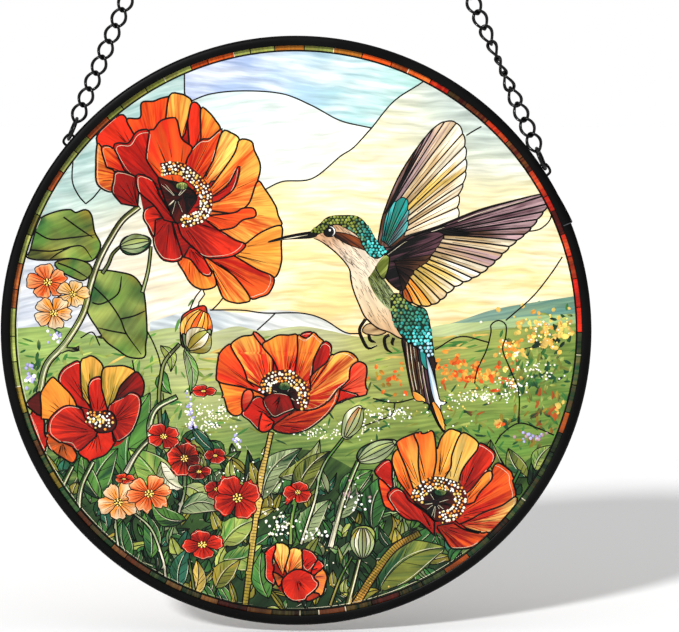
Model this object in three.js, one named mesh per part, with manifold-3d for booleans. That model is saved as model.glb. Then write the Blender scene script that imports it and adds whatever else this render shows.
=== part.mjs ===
// Round hanging suncatcher: a clear panel in a rolled black rim, hung by two curb chains.
// Millimetres, +Z up. The disc lies in the XZ plane and its face looks along -Y.
// The origin is the point of the hanging ring that rests on the hook.

import * as THREE from 'three';
import { mergeVertices } from 'three/addons/utils/BufferGeometryUtils.js';
import Module from 'manifold-3d';

const wasm = await Module();
wasm.setup();

// Driving dimensions: the disc
const DISC_RADIUS = 100;
const RIM_FACE_WIDTH = 3.3;
const RIM_DEPTH = 6;
const RIM_WALL = 1.1;
const RIM_CHAMFER = 0.7;
const PANEL_THICKNESS = 3;
const PANEL_EDGE_GAP = 0.4;
const DISC_SIDES = 72;

// The lapped joint where the two ends of the rim strip meet
const LAP_START_DEG = 21.9;
const LAP_END_DEG = 26.1;
const LAP_THICKNESS = 0.65;
const LAP_DEPTH = 5.2;

// The wire lugs on the rim, and the rings through them
const LUG_LEFT_DEG = 139.7;
const LUG_RIGHT_DEG = 33.2;
const LUG_HALF_WIDTH = 2.1;
const LUG_HEIGHT = 1.95;
const LUG_WIRE_RADIUS = 0.45;
const LUG_ROOT_DEPTH = 0.55;
const JUMP_RING_RADIUS = 3.85;
const JUMP_RING_WIRE_RADIUS = 0.5;
const JUMP_RING_TURN_DEG = 10;

// The chains
const LINK_PITCH = 5.7;
const LINK_WIRE_RADIUS = 0.55;
const LINK_HALF_WIDTH = 2.3;
const LINK_TWIST_DEG = 45;
const LINK_BITE = 0.14;
const LINK_GAP = 0.2;
const RIGHT_CHAIN_TURN_DEG = 180;
const RIGHT_CHAIN_TURN_LINKS = 10;
const TOP_TURN_LINKS = 5;

// The hanging ring
const HANG_HEIGHT = 247;
const HANG_RING_RADIUS = 7;
const HANG_RING_WIRE_RADIUS = 0.9;

const DEG = Math.PI / 180;
const FRONT = new THREE.Vector3(0, -1, 0);
const HANG_RING_CENTRE = new THREE.Vector3(0, 0, HANG_RING_WIRE_RADIUS - HANG_RING_RADIUS);
const DISC_CENTRE = new THREE.Vector3(0, 0, HANG_RING_CENTRE.z - HANG_HEIGHT);

const blackEnamel = new THREE.MeshStandardMaterial({ color: 0x111113, roughness: 0.45, metalness: 0.6 });
const blackWire = new THREE.MeshStandardMaterial({ color: 0x0c0c0d, roughness: 0.28, metalness: 0.8 });
const printedGlass = new THREE.MeshStandardMaterial({ color: 0xc9b27a, roughness: 0.12, metalness: 0 });

// A closed solid from a geometry, in the place that the matrix gives it
function solidOf(geometry, matrix = new THREE.Matrix4()) {
  const placed = geometry.clone().applyMatrix4(matrix);
  placed.deleteAttribute('normal');
  placed.deleteAttribute('uv');
  const merged = mergeVertices(placed, 1e-4);
  return new wasm.Manifold(new wasm.Mesh({
    numProp: 3,
    vertProperties: new Float32Array(merged.getAttribute('position').array),
    triVerts: new Uint32Array(merged.getIndex().array),
  }));
}

function geometryOf(solid) {
  const mesh = solid.getMesh();
  const geometry = new THREE.BufferGeometry();
  geometry.setAttribute('position', new THREE.BufferAttribute(mesh.vertProperties, 3));
  geometry.setIndex(new THREE.BufferAttribute(mesh.triVerts, 1));
  geometry.computeVertexNormals();
  return geometry;
}

function namedMesh(name, geometry, material) {
  const mesh = new THREE.Mesh(geometry, material);
  mesh.name = name;
  return mesh;
}

// The direction from the disc's centre that makes this angle with +X, seen from the front
function outward(degrees) {
  return new THREE.Vector3(Math.cos(degrees * DEG), 0, Math.sin(degrees * DEG));
}

// A frame whose local Y runs along `up`, whose local Z faces the front, moved to `place`
function frontFacingFrame(up, place) {
  const across = new THREE.Vector3().crossVectors(up, FRONT);
  return new THREE.Matrix4().makeBasis(across, up, FRONT).setPosition(place);
}

// The rim's U section, which opens towards the panel, spun about the disc's axis
function rimRing() {
  const half = RIM_DEPTH / 2;
  const lip = DISC_RADIUS - RIM_FACE_WIDTH;
  const channelRoof = DISC_RADIUS - RIM_WALL;
  const channelHalf = half - RIM_WALL;
  const section = [
    [DISC_RADIUS, RIM_CHAMFER - half],
    [DISC_RADIUS, half - RIM_CHAMFER],
    [DISC_RADIUS - RIM_CHAMFER, half],
    [lip, half],
    [lip, channelHalf],
    [channelRoof, channelHalf],
    [channelRoof, -channelHalf],
    [lip, -channelHalf],
    [lip, -half],
    [DISC_RADIUS - RIM_CHAMFER, -half],
    [DISC_RADIUS, RIM_CHAMFER - half],
  ];
  return new THREE.LatheGeometry(section.map(([r, y]) => new THREE.Vector2(r, y)), DISC_SIDES);
}

// The strip's upper end, which lies over the other end on the outside of the rim
function lapPlate() {
  const start = LAP_START_DEG * DEG;
  const end = LAP_END_DEG * DEG;
  const outside = DISC_RADIUS + LAP_THICKNESS;
  const inside = DISC_RADIUS - RIM_WALL / 2;
  const plate = new THREE.Shape();
  plate.absarc(0, 0, outside, start, end, false);
  plate.absarc(0, 0, inside, end, start, true);
  plate.closePath();
  const options = { depth: LAP_DEPTH, bevelEnabled: false, curveSegments: 4 };
  return new THREE.ExtrudeGeometry(plate, options).translate(0, 0, -LAP_DEPTH / 2);
}

// Half a loop of wire, its two feet sunk in the rim and its eye facing the front
function lugLoop() {
  const feet = DISC_RADIUS - LUG_ROOT_DEPTH;
  const arch = new THREE.CatmullRomCurve3([
    new THREE.Vector3(-LUG_HALF_WIDTH, feet, 0),
    new THREE.Vector3(-LUG_HALF_WIDTH * 0.8, DISC_RADIUS + LUG_HEIGHT * 0.75, 0),
    new THREE.Vector3(0, DISC_RADIUS + LUG_HEIGHT, 0),
    new THREE.Vector3(LUG_HALF_WIDTH * 0.8, DISC_RADIUS + LUG_HEIGHT * 0.75, 0),
    new THREE.Vector3(LUG_HALF_WIDTH, feet, 0),
  ]);
  const wire = new THREE.Shape().absarc(0, 0, LUG_WIRE_RADIUS, 0, 2 * Math.PI, false);
  return new THREE.ExtrudeGeometry(wire, { extrudePath: arch, steps: 10, curveSegments: 4 });
}

function buildRim() {
  const lapFrame = frontFacingFrame(new THREE.Vector3(0, 0, 1), new THREE.Vector3());
  let rim = solidOf(rimRing()).add(solidOf(lapPlate(), lapFrame));
  for (const degrees of [LUG_LEFT_DEG, LUG_RIGHT_DEG]) {
    rim = rim.add(solidOf(lugLoop(), frontFacingFrame(outward(degrees), new THREE.Vector3())));
  }
  const mesh = namedMesh('rim', geometryOf(rim), blackEnamel);
  mesh.position.copy(DISC_CENTRE);
  return mesh;
}

function buildPanel() {
  const radius = DISC_RADIUS - RIM_WALL - PANEL_EDGE_GAP;
  const geometry = new THREE.CylinderGeometry(radius, radius, PANEL_THICKNESS, DISC_SIDES);
  const mesh = namedMesh('picture_panel', geometry, printedGlass);
  mesh.position.copy(DISC_CENTRE);
  return mesh;
}

// The straight run of one chain, from the middle of its lug's eye to the hanging ring's centre
function chainRun(lugDegrees) {
  const eyeRadius = DISC_RADIUS + (LUG_HEIGHT - LUG_WIRE_RADIUS) / 2;
  const start = outward(lugDegrees).multiplyScalar(eyeRadius).add(DISC_CENTRE);
  const along = HANG_RING_CENTRE.clone().sub(start);
  const length = along.length();
  along.normalize();
  const at = (distance) => start.clone().addScaledVector(along, distance);
  return { along, length, at };
}

// A jump ring stands nearly edge-on: its plane holds the chain's run and the front direction
function buildJumpRing(name, lugDegrees, turnDegrees) {
  const run = chainRun(lugDegrees);
  const ring = new THREE.TorusGeometry(JUMP_RING_RADIUS, JUMP_RING_WIRE_RADIUS, 6, 16);
  ring.rotateY((90 + turnDegrees) * DEG);
  const mesh = namedMesh(name, ring, blackWire);
  mesh.applyMatrix4(frontFacingFrame(run.along, run.at(JUMP_RING_RADIUS)));
  return mesh;
}

// One oval link of round wire, its ends twisted opposite ways so that the chain lies flat
function curbLink(halfLength) {
  const link = new THREE.TorusGeometry(1, LINK_WIRE_RADIUS, 4, 8);
  const points = link.getAttribute('position');
  for (let i = 0; i < points.count; i += 1) {
    const angle = Math.atan2(points.getY(i), points.getX(i));
    const x = points.getX(i) + (LINK_HALF_WIDTH - 1) * Math.cos(angle);
    const y = points.getY(i) + (halfLength - 1) * Math.sin(angle);
    const twist = (y / halfLength) * LINK_TWIST_DEG * DEG;
    const z = points.getZ(i);
    points.setXYZ(
      i,
      x * Math.cos(twist) - z * Math.sin(twist),
      y,
      x * Math.sin(twist) + z * Math.cos(twist),
    );
  }
  return link;
}

// The links of one chain touch, so they are one solid. `turnDegrees` is how far the chain turns
// about its own run over its first links; its last few turn on, to meet the hanging ring squarely.
function buildChain(name, lugDegrees, turnDegrees) {
  const run = chainRun(lugDegrees);
  const halfLength = LINK_PITCH / 2 + LINK_WIRE_RADIUS - LINK_BITE / 2;
  const lowerReach = JUMP_RING_WIRE_RADIUS + LINK_WIRE_RADIUS + LINK_GAP;
  const upperReach = HANG_RING_WIRE_RADIUS + LINK_WIRE_RADIUS + LINK_GAP;
  const firstMiddle = 2 * JUMP_RING_RADIUS - lowerReach + halfLength;
  const lastMiddle = run.length - HANG_RING_RADIUS + upperReach - halfLength;
  const count = Math.round((lastMiddle - firstMiddle) / LINK_PITCH) + 1;
  const step = (lastMiddle - firstMiddle) / (count - 1);
  const link = curbLink(halfLength);
  let chain = null;
  for (let i = 0; i < count; i += 1) {
    const lowTurn = turnDegrees * THREE.MathUtils.smoothstep(i, 0, RIGHT_CHAIN_TURN_LINKS);
    const topShare = THREE.MathUtils.smoothstep(i, count - 1 - TOP_TURN_LINKS, count - 1);
    const topTurn = (90 - LINK_TWIST_DEG) * topShare;
    const turn = new THREE.Matrix4().makeRotationY(-(lowTurn + topTurn) * DEG);
    const place = frontFacingFrame(run.along, run.at(firstMiddle + i * step)).multiply(turn);
    const solid = solidOf(link, place);
    chain = chain ? chain.add(solid) : solid;
  }
  return namedMesh(name, geometryOf(chain), blackWire);
}

function buildHangingRing() {
  const ring = new THREE.TorusGeometry(HANG_RING_RADIUS, HANG_RING_WIRE_RADIUS, 6, 24);
  ring.rotateX(Math.PI / 2);
  const mesh = namedMesh('hanging_ring', ring, blackWire);
  mesh.position.copy(HANG_RING_CENTRE);
  return mesh;
}

const suncatcher = new THREE.Group();
suncatcher.add(
  buildRim(),
  buildPanel(),
  buildJumpRing('jump_ring_left', LUG_LEFT_DEG, JUMP_RING_TURN_DEG),
  buildJumpRing('jump_ring_right', LUG_RIGHT_DEG, -JUMP_RING_TURN_DEG),
  buildChain('chain_left', LUG_LEFT_DEG, 0),
  buildChain('chain_right', LUG_RIGHT_DEG, RIGHT_CHAIN_TURN_DEG),
  buildHangingRing(),
);

export default suncatcher;
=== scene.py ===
"""The looks of a round hanging suncatcher: a painted clear panel in a black rim, on two curb chains.

The picture is drawn as panes, lines and raised dots in millimetres from the disc's centre, x to the
right and z up, and is then carried into the frame's own metres. Metalwork follows the frame's boxes.
"""
import logging
import math
from dataclasses import dataclass, field
from enum import Enum
from typing import Optional, Sequence, Union

import bmesh
import bpy
import numpy as np
from mathutils import Matrix, Vector
from mathutils.geometry import delaunay_2d_cdt


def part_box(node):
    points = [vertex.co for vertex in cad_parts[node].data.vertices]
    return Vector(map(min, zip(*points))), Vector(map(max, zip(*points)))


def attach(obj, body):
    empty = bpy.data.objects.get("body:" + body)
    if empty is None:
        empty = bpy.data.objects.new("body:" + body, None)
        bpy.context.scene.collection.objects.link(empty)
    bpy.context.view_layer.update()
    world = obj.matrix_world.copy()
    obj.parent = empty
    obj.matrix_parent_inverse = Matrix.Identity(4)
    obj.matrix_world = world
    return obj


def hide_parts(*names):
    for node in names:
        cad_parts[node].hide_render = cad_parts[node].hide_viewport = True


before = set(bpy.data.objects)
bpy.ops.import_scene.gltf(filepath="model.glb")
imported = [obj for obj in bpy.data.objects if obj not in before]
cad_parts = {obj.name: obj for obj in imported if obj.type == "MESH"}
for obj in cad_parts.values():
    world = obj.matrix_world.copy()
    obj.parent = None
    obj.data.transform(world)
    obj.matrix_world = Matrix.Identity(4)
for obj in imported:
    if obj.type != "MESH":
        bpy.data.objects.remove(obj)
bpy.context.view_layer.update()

LOG = logging.getLogger("suncatcher")
MM = 0.001
BODY = "root"
SEED = 7
LEFT_LUG = 139.7
RIGHT_LUG = 33.2
HANG_RADIUS = 7.0
HANG_WIRE = 0.9
FLOOR_DROP = 3.0

Point = tuple[float, float]
Points = Sequence[Point]
Colour = np.ndarray
Run = tuple[np.ndarray, np.ndarray, np.ndarray]
Euler = tuple[float, float, float]


def linear(code: str) -> Colour:
    """Turns a paint's hex code into linear light.

    Args:
        code: Six hex digits, red, green and blue.

    Returns:
        Three linear values from 0 to 1.
    """
    srgb = np.array([int(code[i:i + 2], 16) for i in (0, 2, 4)]) / 255
    return np.where(srgb <= 0.04045, srgb / 12.92, ((srgb + 0.055) / 1.055) ** 2.4)


class Paint(Enum):
    """The enamel paints of the picture, by hex code."""

    SCARLET = "d92c14"
    RED = "b81a0d"
    CRIMSON = "8f110c"
    MAROON = "4d0f0a"
    ORANGE = "e2561a"
    AMBER = "f08f30"
    GOLD = "f6b04a"
    YELLOW = "f8d468"
    SALMON = "e4643f"
    OLIVE = "94812c"
    STRAW = "dcb860"
    RUST = "a8501e"
    PEACH = "f0a566"
    CREAM = "f3ead0"
    WHITE = "fbfaf4"
    TAN = "c9a878"
    FAWN = "e0c49c"
    BROWN = "5f3a22"
    UMBER = "2c1a14"
    MAUVE = "a98a8d"
    PLUM = "5d3b45"
    TEAL = "1c8b86"
    AQUA = "4fc0bd"
    SEA = "2e6d57"
    BRONZE = "5f6a22"
    LIME = "a9b45a"
    LEAF = "5a8f3c"
    FERN = "3a7034"
    PINE = "1f4a2b"
    MOSS = "7d8436"
    SAGE = "9aa878"
    DEEP = "12281a"
    SKY = "9fc3e0"
    LAVENDER = "a9a2d8"
    INK = "0a0a0b"

    @property
    def rgb(self) -> Colour:
        """The paint in linear light."""
        return linear(self.value)


# ---------------------------------------------------------------- node trees


class Sock:
    """An output socket that takes part in Python arithmetic."""

    def __init__(self, tree: "Tree", socket: bpy.types.NodeSocket) -> None:
        """Keeps the socket with the tree that it belongs to."""
        self.tree = tree
        self.socket = socket

    def _math(self, operation: str, first: "Value", second: "Value") -> "Sock":
        """Adds a Math node.

        Args:
            operation: The node's operation.
            first: Its first value.
            second: Its second value.

        Returns:
            The node's result.
        """
        return self.tree.out("ShaderNodeMath", {"operation": operation}, {0: first, 1: second})

    def __add__(self, other: "Value") -> "Sock":
        """self + other."""
        return self._math("ADD", self, other)

    def __radd__(self, other: "Value") -> "Sock":
        """other + self."""
        return self._math("ADD", other, self)

    def __sub__(self, other: "Value") -> "Sock":
        """self - other."""
        return self._math("SUBTRACT", self, other)

    def __rsub__(self, other: "Value") -> "Sock":
        """other - self."""
        return self._math("SUBTRACT", other, self)

    def __mul__(self, other: "Value") -> "Sock":
        """self * other."""
        return self._math("MULTIPLY", self, other)

    def __rmul__(self, other: "Value") -> "Sock":
        """other * self."""
        return self._math("MULTIPLY", other, self)

    def __truediv__(self, other: "Value") -> "Sock":
        """self / other."""
        return self._math("DIVIDE", self, other)

    def cos(self) -> "Sock":
        """The cosine of the value."""
        return self._math("COSINE", self, 0.0)

    def sin(self) -> "Sock":
        """The sine of the value."""
        return self._math("SINE", self, 0.0)

    def clamped(self) -> "Sock":
        """The value held between 0 and 1."""
        return self._math("MINIMUM", self._math("MAXIMUM", self, 0.0), 1.0)


Value = Union[Sock, float]


class Tree:
    """A node tree with one way of adding nodes."""

    def __init__(self, nodes: bpy.types.NodeTree) -> None:
        """Keeps the tree that nodes go into."""
        self.nodes = nodes

    def node(self, kind: str, settings: Optional[dict] = None,
             inputs: Optional[dict] = None) -> bpy.types.Node:
        """Adds one node.

        Args:
            kind: The node's type.
            settings: Its properties by name; "stops" are a ramp's (position, colour) pairs.
            inputs: Values or sockets by the input's name or number.

        Returns:
            The new node.
        """
        made = self.nodes.nodes.new(kind)
        for name, value in (settings or {}).items():
            if name == "stops":
                self._set_stops(made.color_ramp, value)
            else:
                setattr(made, name, value)
        for key, value in (inputs or {}).items():
            if isinstance(value, Sock):
                self.nodes.links.new(value.socket, made.inputs[key])
            else:
                made.inputs[key].default_value = value
        return made

    def out(self, kind: str, settings: Optional[dict] = None, inputs: Optional[dict] = None,
            output: Union[int, str] = 0) -> Sock:
        """Adds one node and gives one of its outputs.

        Args:
            kind: The node's type.
            settings: Its properties by name.
            inputs: Values or sockets by the input's name or number.
            output: The output's name or number.

        Returns:
            The output socket.
        """
        return Sock(self, self.node(kind, settings, inputs).outputs[output])

    @staticmethod
    def _set_stops(ramp: bpy.types.ColorRamp, stops: Sequence[tuple[float, Colour]]) -> None:
        """Sets a ramp's stops.

        Args:
            ramp: The ramp.
            stops: Each stop's position and linear colour.
        """
        while len(ramp.elements) < len(stops):
            ramp.elements.new(1.0)
        for element, (position, colour) in zip(ramp.elements, stops):
            element.position = position
            element.color = (*colour, 1.0)


class ShaderTree(Tree):
    """A material's node tree."""

    def __init__(self, material: bpy.types.Material) -> None:
        """Clears the material's nodes and adds its output."""
        material.use_nodes = True
        material.node_tree.nodes.clear()
        super().__init__(material.node_tree)
        self.output = self.node("ShaderNodeOutputMaterial")

    def place(self) -> Sock:
        """The point on the piece, in metres."""
        return self.out("ShaderNodeTexCoord", output="Object")

    def noise(self, vector: Sock, scale: float, detail: float = 2.0) -> Sock:
        """A noise texture's value.

        Args:
            vector: Where the noise is read.
            scale: Its scale.
            detail: How many finer layers it has.

        Returns:
            A value from 0 to 1, near 0.5.
        """
        return self.out("ShaderNodeTexNoise", {}, {"Vector": vector, "Scale": scale, "Detail": detail})

    def mix(self, share: Value, first: Union[Sock, Colour], second: Union[Sock, Colour]) -> Sock:
        """Mixes two colours.

        Args:
            share: The second colour's share.
            first: The first colour.
            second: The second colour.

        Returns:
            The mixed colour.
        """
        sides = [c if isinstance(c, Sock) else (*c, 1.0) for c in (first, second)]
        return self.out("ShaderNodeMix", {"data_type": "RGBA"}, {0: share, 6: sides[0], 7: sides[1]}, 2)

    def dimmed(self, colour: Sock, level: Sock) -> Sock:
        """Scales a colour's light.

        Args:
            colour: The colour.
            level: What it is multiplied by.

        Returns:
            The scaled colour.
        """
        return self.out("ShaderNodeVectorMath", {"operation": "SCALE"}, {0: colour, "Scale": level})

    def bump(self, height: Sock, strength: float, distance: float) -> Sock:
        """A normal bent by a height.

        Args:
            height: The height's value.
            strength: The bump's strength.
            distance: The height in metres that a value of 1 stands for.

        Returns:
            The normal.
        """
        return self.out("ShaderNodeBump", {}, {"Strength": strength, "Distance": distance, "Height": height})

    def principled(self, **inputs: object) -> Sock:
        """A Principled shader.

        Args:
            inputs: Its inputs, their names with _ for each space.

        Returns:
            The shader.
        """
        named = {name.replace("_", " "): value for name, value in inputs.items()}
        return self.out("ShaderNodeBsdfPrincipled", {}, named)

    def finish(self, shader: Sock) -> None:
        """Links the shader to the material's surface."""
        self.nodes.links.new(shader.socket, self.output.inputs["Surface"])


class GeometryTree(Tree):
    """A Geometry Nodes tree that one piece is made by, with named inputs."""

    def __init__(self, name: str, **sizes: float) -> None:
        """Starts a tree.

        Args:
            name: The tree's name.
            sizes: Named number inputs with their values.
        """
        super().__init__(bpy.data.node_groups.new(name, "GeometryNodeTree"))
        face = self.nodes.interface
        face.new_socket("Geometry", in_out="INPUT", socket_type="NodeSocketGeometry")
        for title in sizes:
            face.new_socket(title, in_out="INPUT", socket_type="NodeSocketFloat")
        face.new_socket("Geometry", in_out="OUTPUT", socket_type="NodeSocketGeometry")
        self.sizes = sizes
        self.start = self.node("NodeGroupInput")
        self.geometry = Sock(self, self.start.outputs[0])

    def size(self, title: str) -> Sock:
        """A named input's socket."""
        return Sock(self, self.start.outputs[title])

    def named(self, name: str, kind: str = "FLOAT") -> Sock:
        """Reads a named attribute.

        Args:
            name: The attribute's name.
            kind: Its data type.

        Returns:
            Its value.
        """
        return self.out("GeometryNodeInputNamedAttribute", {"data_type": kind}, {"Name": name})

    def vector(self, x: Value, y: Value, z: Value) -> Sock:
        """A vector from three values."""
        return self.out("ShaderNodeCombineXYZ", {}, {0: x, 1: y, 2: z})

    def close(self, geometry: Sock, material: bpy.types.Material) -> None:
        """Ends the tree: instances become real, smooth and dressed.

        Args:
            geometry: What the tree has made.
            material: The finish that it gets.
        """
        real = self.out("GeometryNodeRealizeInstances", {}, {0: geometry})
        smooth = self.out("GeometryNodeSetShadeSmooth", {}, {0: real})
        self.node("NodeGroupOutput", {}, {0: self.out("GeometryNodeSetMaterial", {},
                                                      {0: smooth, 2: material})})

    def run(self, source: bpy.types.Mesh) -> bpy.types.Mesh:
        """Runs the tree on a mesh.

        Args:
            source: What the tree starts from.

        Returns:
            The finished plain mesh.
        """
        carrier = bpy.data.objects.new("carrier", source)
        bpy.context.scene.collection.objects.link(carrier)
        modifier = carrier.modifiers.new("rule", "NODES")
        modifier.node_group = self.nodes
        for item in self.nodes.interface.items_tree:
            if item.item_type == "SOCKET" and item.in_out == "INPUT" and item.name in self.sizes:
                modifier[item.identifier] = float(self.sizes[item.name])
        graph = bpy.context.evaluated_depsgraph_get()
        mesh = bpy.data.meshes.new_from_object(carrier.evaluated_get(graph), depsgraph=graph)
        bpy.data.objects.remove(carrier)
        return mesh


# ---------------------------------------------------------------- finishes


@dataclass(frozen=True)
class SatinEnamel:
    """Satin black enamel on the rim, a little greyer and duller where it is handled."""

    name: str = "rim_enamel"
    colour: str = "020202"
    worn: str = "0c0c0d"
    grain_scale: float = 900.0
    patch_scale: float = 45.0

    def make(self) -> bpy.types.Material:
        """Builds the material."""
        material = bpy.data.materials.new(self.name)
        tree = ShaderTree(material)
        place = tree.place()
        patch = tree.noise(place, self.patch_scale, 3.0)
        grain = tree.noise(place, self.grain_scale, 2.0)
        colour = tree.mix(((patch - 0.45) * 2.5).clamped() * 0.6, linear(self.colour), linear(self.worn))
        normal = tree.bump(grain, 0.12, 0.0001)
        roughness = 0.3 + 0.16 * patch + 0.1 * grain
        tree.finish(tree.principled(Base_Color=colour, Roughness=roughness, Normal=normal,
                                    Specular_IOR_Level=0.06, Coat_Weight=0.03, Coat_Roughness=0.2))
        return material


@dataclass(frozen=True)
class GlossWire:
    """Glossy black plated wire of the chains and rings."""

    name: str = "chain_wire"
    colour: str = "030303"
    rubbed: str = "131315"
    rub_scale: float = 260.0

    def make(self) -> bpy.types.Material:
        """Builds the material."""
        material = bpy.data.materials.new(self.name)
        tree = ShaderTree(material)
        place = tree.place()
        rub = tree.noise(place, self.rub_scale, 3.0)
        colour = tree.mix(((rub - 0.5) * 3.0).clamped() * 0.7, linear(self.colour), linear(self.rubbed))
        normal = tree.bump(tree.noise(place, 1400.0, 2.0), 0.1, 0.0001)
        tree.finish(tree.principled(Base_Color=colour, Roughness=0.16 + 0.2 * rub, Normal=normal,
                                    Specular_IOR_Level=0.16, Coat_Weight=0.08, Coat_Roughness=0.06))
        return material


@dataclass(frozen=True)
class PaintedGlass:
    """Translucent streaky paint under a glossy face. It reads the panel's own colours and grain."""

    name: str = "picture_glass"
    broad: tuple[float, float, float] = (0.045, 0.42, 1.0)
    fine: tuple[float, float, float] = (0.1, 1.7, 1.0)
    through: float = 0.22

    def make(self) -> bpy.types.Material:
        """Builds the material."""
        material = bpy.data.materials.new(self.name)
        tree = ShaderTree(material)
        grain = tree.out("ShaderNodeUVMap", {"uv_map": "grain"})
        tint = tree.node("ShaderNodeVertexColor", {"layer_name": "tint"})
        accent = tree.node("ShaderNodeVertexColor", {"layer_name": "accent"})
        reach, level = Sock(tree, tint.outputs["Alpha"]), Sock(tree, accent.outputs["Alpha"])
        broad = self._streak(tree, grain, self.broad, 3.0)
        fine = self._streak(tree, grain, self.fine, 2.0)
        share = (reach + (broad - 0.5) * 2.6 + (fine - 0.5) * 1.3).clamped()
        colour = tree.mix(share, Sock(tree, tint.outputs["Color"]), Sock(tree, accent.outputs["Color"]))
        colour = tree.dimmed(colour, level * (0.58 + 0.84 * fine))
        ripple = tree.noise(tree.place(), 70.0, 2.0)
        normal = tree.bump(ripple + 0.15 * fine, 0.12, 0.0006)
        face = tree.principled(Base_Color=colour, Roughness=0.1 + 0.08 * ripple, Normal=normal,
                               Specular_IOR_Level=0.22)
        glow = tree.out("ShaderNodeBsdfTranslucent", {}, {"Color": colour, "Normal": normal})
        tree.finish(tree.out("ShaderNodeMixShader", {}, {0: self.through, 1: face, 2: glow}))
        return material

    @staticmethod
    def _streak(tree: ShaderTree, grain: Sock, stretch: tuple[float, float, float], detail: float) -> Sock:
        """Noise drawn out along the grain.

        Args:
            tree: The material's tree.
            grain: The grain's coordinates in millimetres, along it and across it.
            stretch: How the coordinates are scaled.
            detail: The noise's detail.

        Returns:
            The noise's value.
        """
        vector = tree.out("ShaderNodeVectorMath", {"operation": "MULTIPLY"}, {0: grain, 1: stretch})
        return tree.out("ShaderNodeTexNoise", {"noise_dimensions": "2D"},
                        {"Vector": vector, "Scale": 1.0, "Detail": detail})


@dataclass(frozen=True)
class LeadLine:
    """The raised black lines between panes: glossy, with a greyer bloom here and there."""

    name: str = "lead_line"
    colour: str = "020202"
    bloom: str = "120f0d"

    def make(self) -> bpy.types.Material:
        """Builds the material."""
        material = bpy.data.materials.new(self.name)
        tree = ShaderTree(material)
        place = tree.place()
        cloud = tree.noise(place, 160.0, 3.0)
        colour = tree.mix(((cloud - 0.5) * 3.0).clamped(), linear(self.colour), linear(self.bloom))
        normal = tree.bump(tree.noise(place, 700.0, 2.0), 0.2, 0.0001)
        tree.finish(tree.principled(Base_Color=colour, Roughness=0.3 + 0.3 * cloud, Normal=normal,
                                    Specular_IOR_Level=0.12))
        return material


@dataclass(frozen=True)
class PaleLine:
    """The light lines that glint beside the dark ones."""

    name: str = "pale_line"
    colour: str = "efe6c8"
    shaded: str = "a79d74"

    def make(self) -> bpy.types.Material:
        """Builds the material."""
        material = bpy.data.materials.new(self.name)
        tree = ShaderTree(material)
        cloud = tree.noise(tree.place(), 300.0, 3.0)
        colour = tree.mix(((cloud - 0.4) * 3.0).clamped(), linear(self.colour), linear(self.shaded))
        tree.finish(tree.principled(Base_Color=colour, Roughness=0.25 + 0.2 * cloud, Specular_IOR_Level=0.4))
        return material


@dataclass(frozen=True)
class EnamelDot:
    """Raised dots of thick enamel, each in the paint that its tint gives."""

    name: str = "enamel_dot"

    def make(self) -> bpy.types.Material:
        """Builds the material."""
        material = bpy.data.materials.new(self.name)
        tree = ShaderTree(material)
        tint = tree.out("ShaderNodeVertexColor", {"layer_name": "tint"})
        cloud = tree.noise(tree.place(), 900.0, 2.0)
        colour = tree.dimmed(tint, 0.75 + 0.5 * cloud)
        tree.finish(tree.principled(Base_Color=colour, Roughness=0.4 + 0.2 * cloud, Specular_IOR_Level=0.2))
        return material


@dataclass(frozen=True)
class StudioFloor:
    """The pale floor, which isn't part of the object."""

    name: str = "studio_floor"
    colour: str = "f6f6f6"

    def make(self) -> bpy.types.Material:
        """Builds the material."""
        material = bpy.data.materials.new(self.name)
        tree = ShaderTree(material)
        cloud = tree.noise(tree.place(), 6.0, 2.0)
        tree.finish(tree.principled(Base_Color=tree.mix(cloud * 0.1, linear(self.colour), linear("eeeeee")),
                                    Roughness=0.9, Specular_IOR_Level=0.1))
        return material


# ---------------------------------------------------------------- drawing board


def smooth_path(points: Points, step: float = 1.1, closed: bool = False) -> np.ndarray:
    """Rounds a run of points with a Catmull-Rom curve.

    Args:
        points: The points that the curve passes through.
        step: About how far apart the curve's points are, in millimetres.
        closed: Whether the last point joins the first.

    Returns:
        The curve's points.
    """
    knots = np.asarray(points, float)
    if closed:
        knots = np.vstack([knots[-1], knots, knots[0], knots[1]])
    else:
        knots = np.vstack([2 * knots[0] - knots[1], knots, 2 * knots[-1] - knots[-2]])
    path = []
    for a, b, c, d in zip(knots, knots[1:], knots[2:], knots[3:]):
        count = max(2, int(np.linalg.norm(c - b) / step) + 1)
        t = (np.arange(count) / count)[:, None]
        path.append(0.5 * (2 * b + (c - a) * t + (2 * a - 5 * b + 4 * c - d) * t**2
                           + (3 * b - a - 3 * c + d) * t**3))
    if not closed:
        path.append(knots[-2][None])
    return np.vstack(path)


def along(path: np.ndarray, shares: np.ndarray) -> np.ndarray:
    """Points at given shares of a path's length.

    Args:
        path: The path's points.
        shares: Shares from 0 to 1.

    Returns:
        The points.
    """
    run = np.concatenate([[0], np.cumsum(np.linalg.norm(np.diff(path, axis=0), axis=1))])
    return np.stack([np.interp(np.asarray(shares) * run[-1], run, path[:, k]) for k in (0, 1)], axis=1)


def ribbon(path: np.ndarray, start: float, end: float) -> np.ndarray:
    """The closed outline of a band along a path.

    Args:
        path: The band's middle line.
        start: Its width at the first point.
        end: Its width at the last point.

    Returns:
        The outline.
    """
    along_path = np.gradient(path, axis=0)
    normal = np.stack([-along_path[:, 1], along_path[:, 0]], axis=1)
    normal /= np.linalg.norm(normal, axis=1)[:, None]
    half = np.linspace(start, end, len(path))[:, None] / 2
    return np.vstack([path + normal * half, (path - normal * half)[::-1]])


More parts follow.
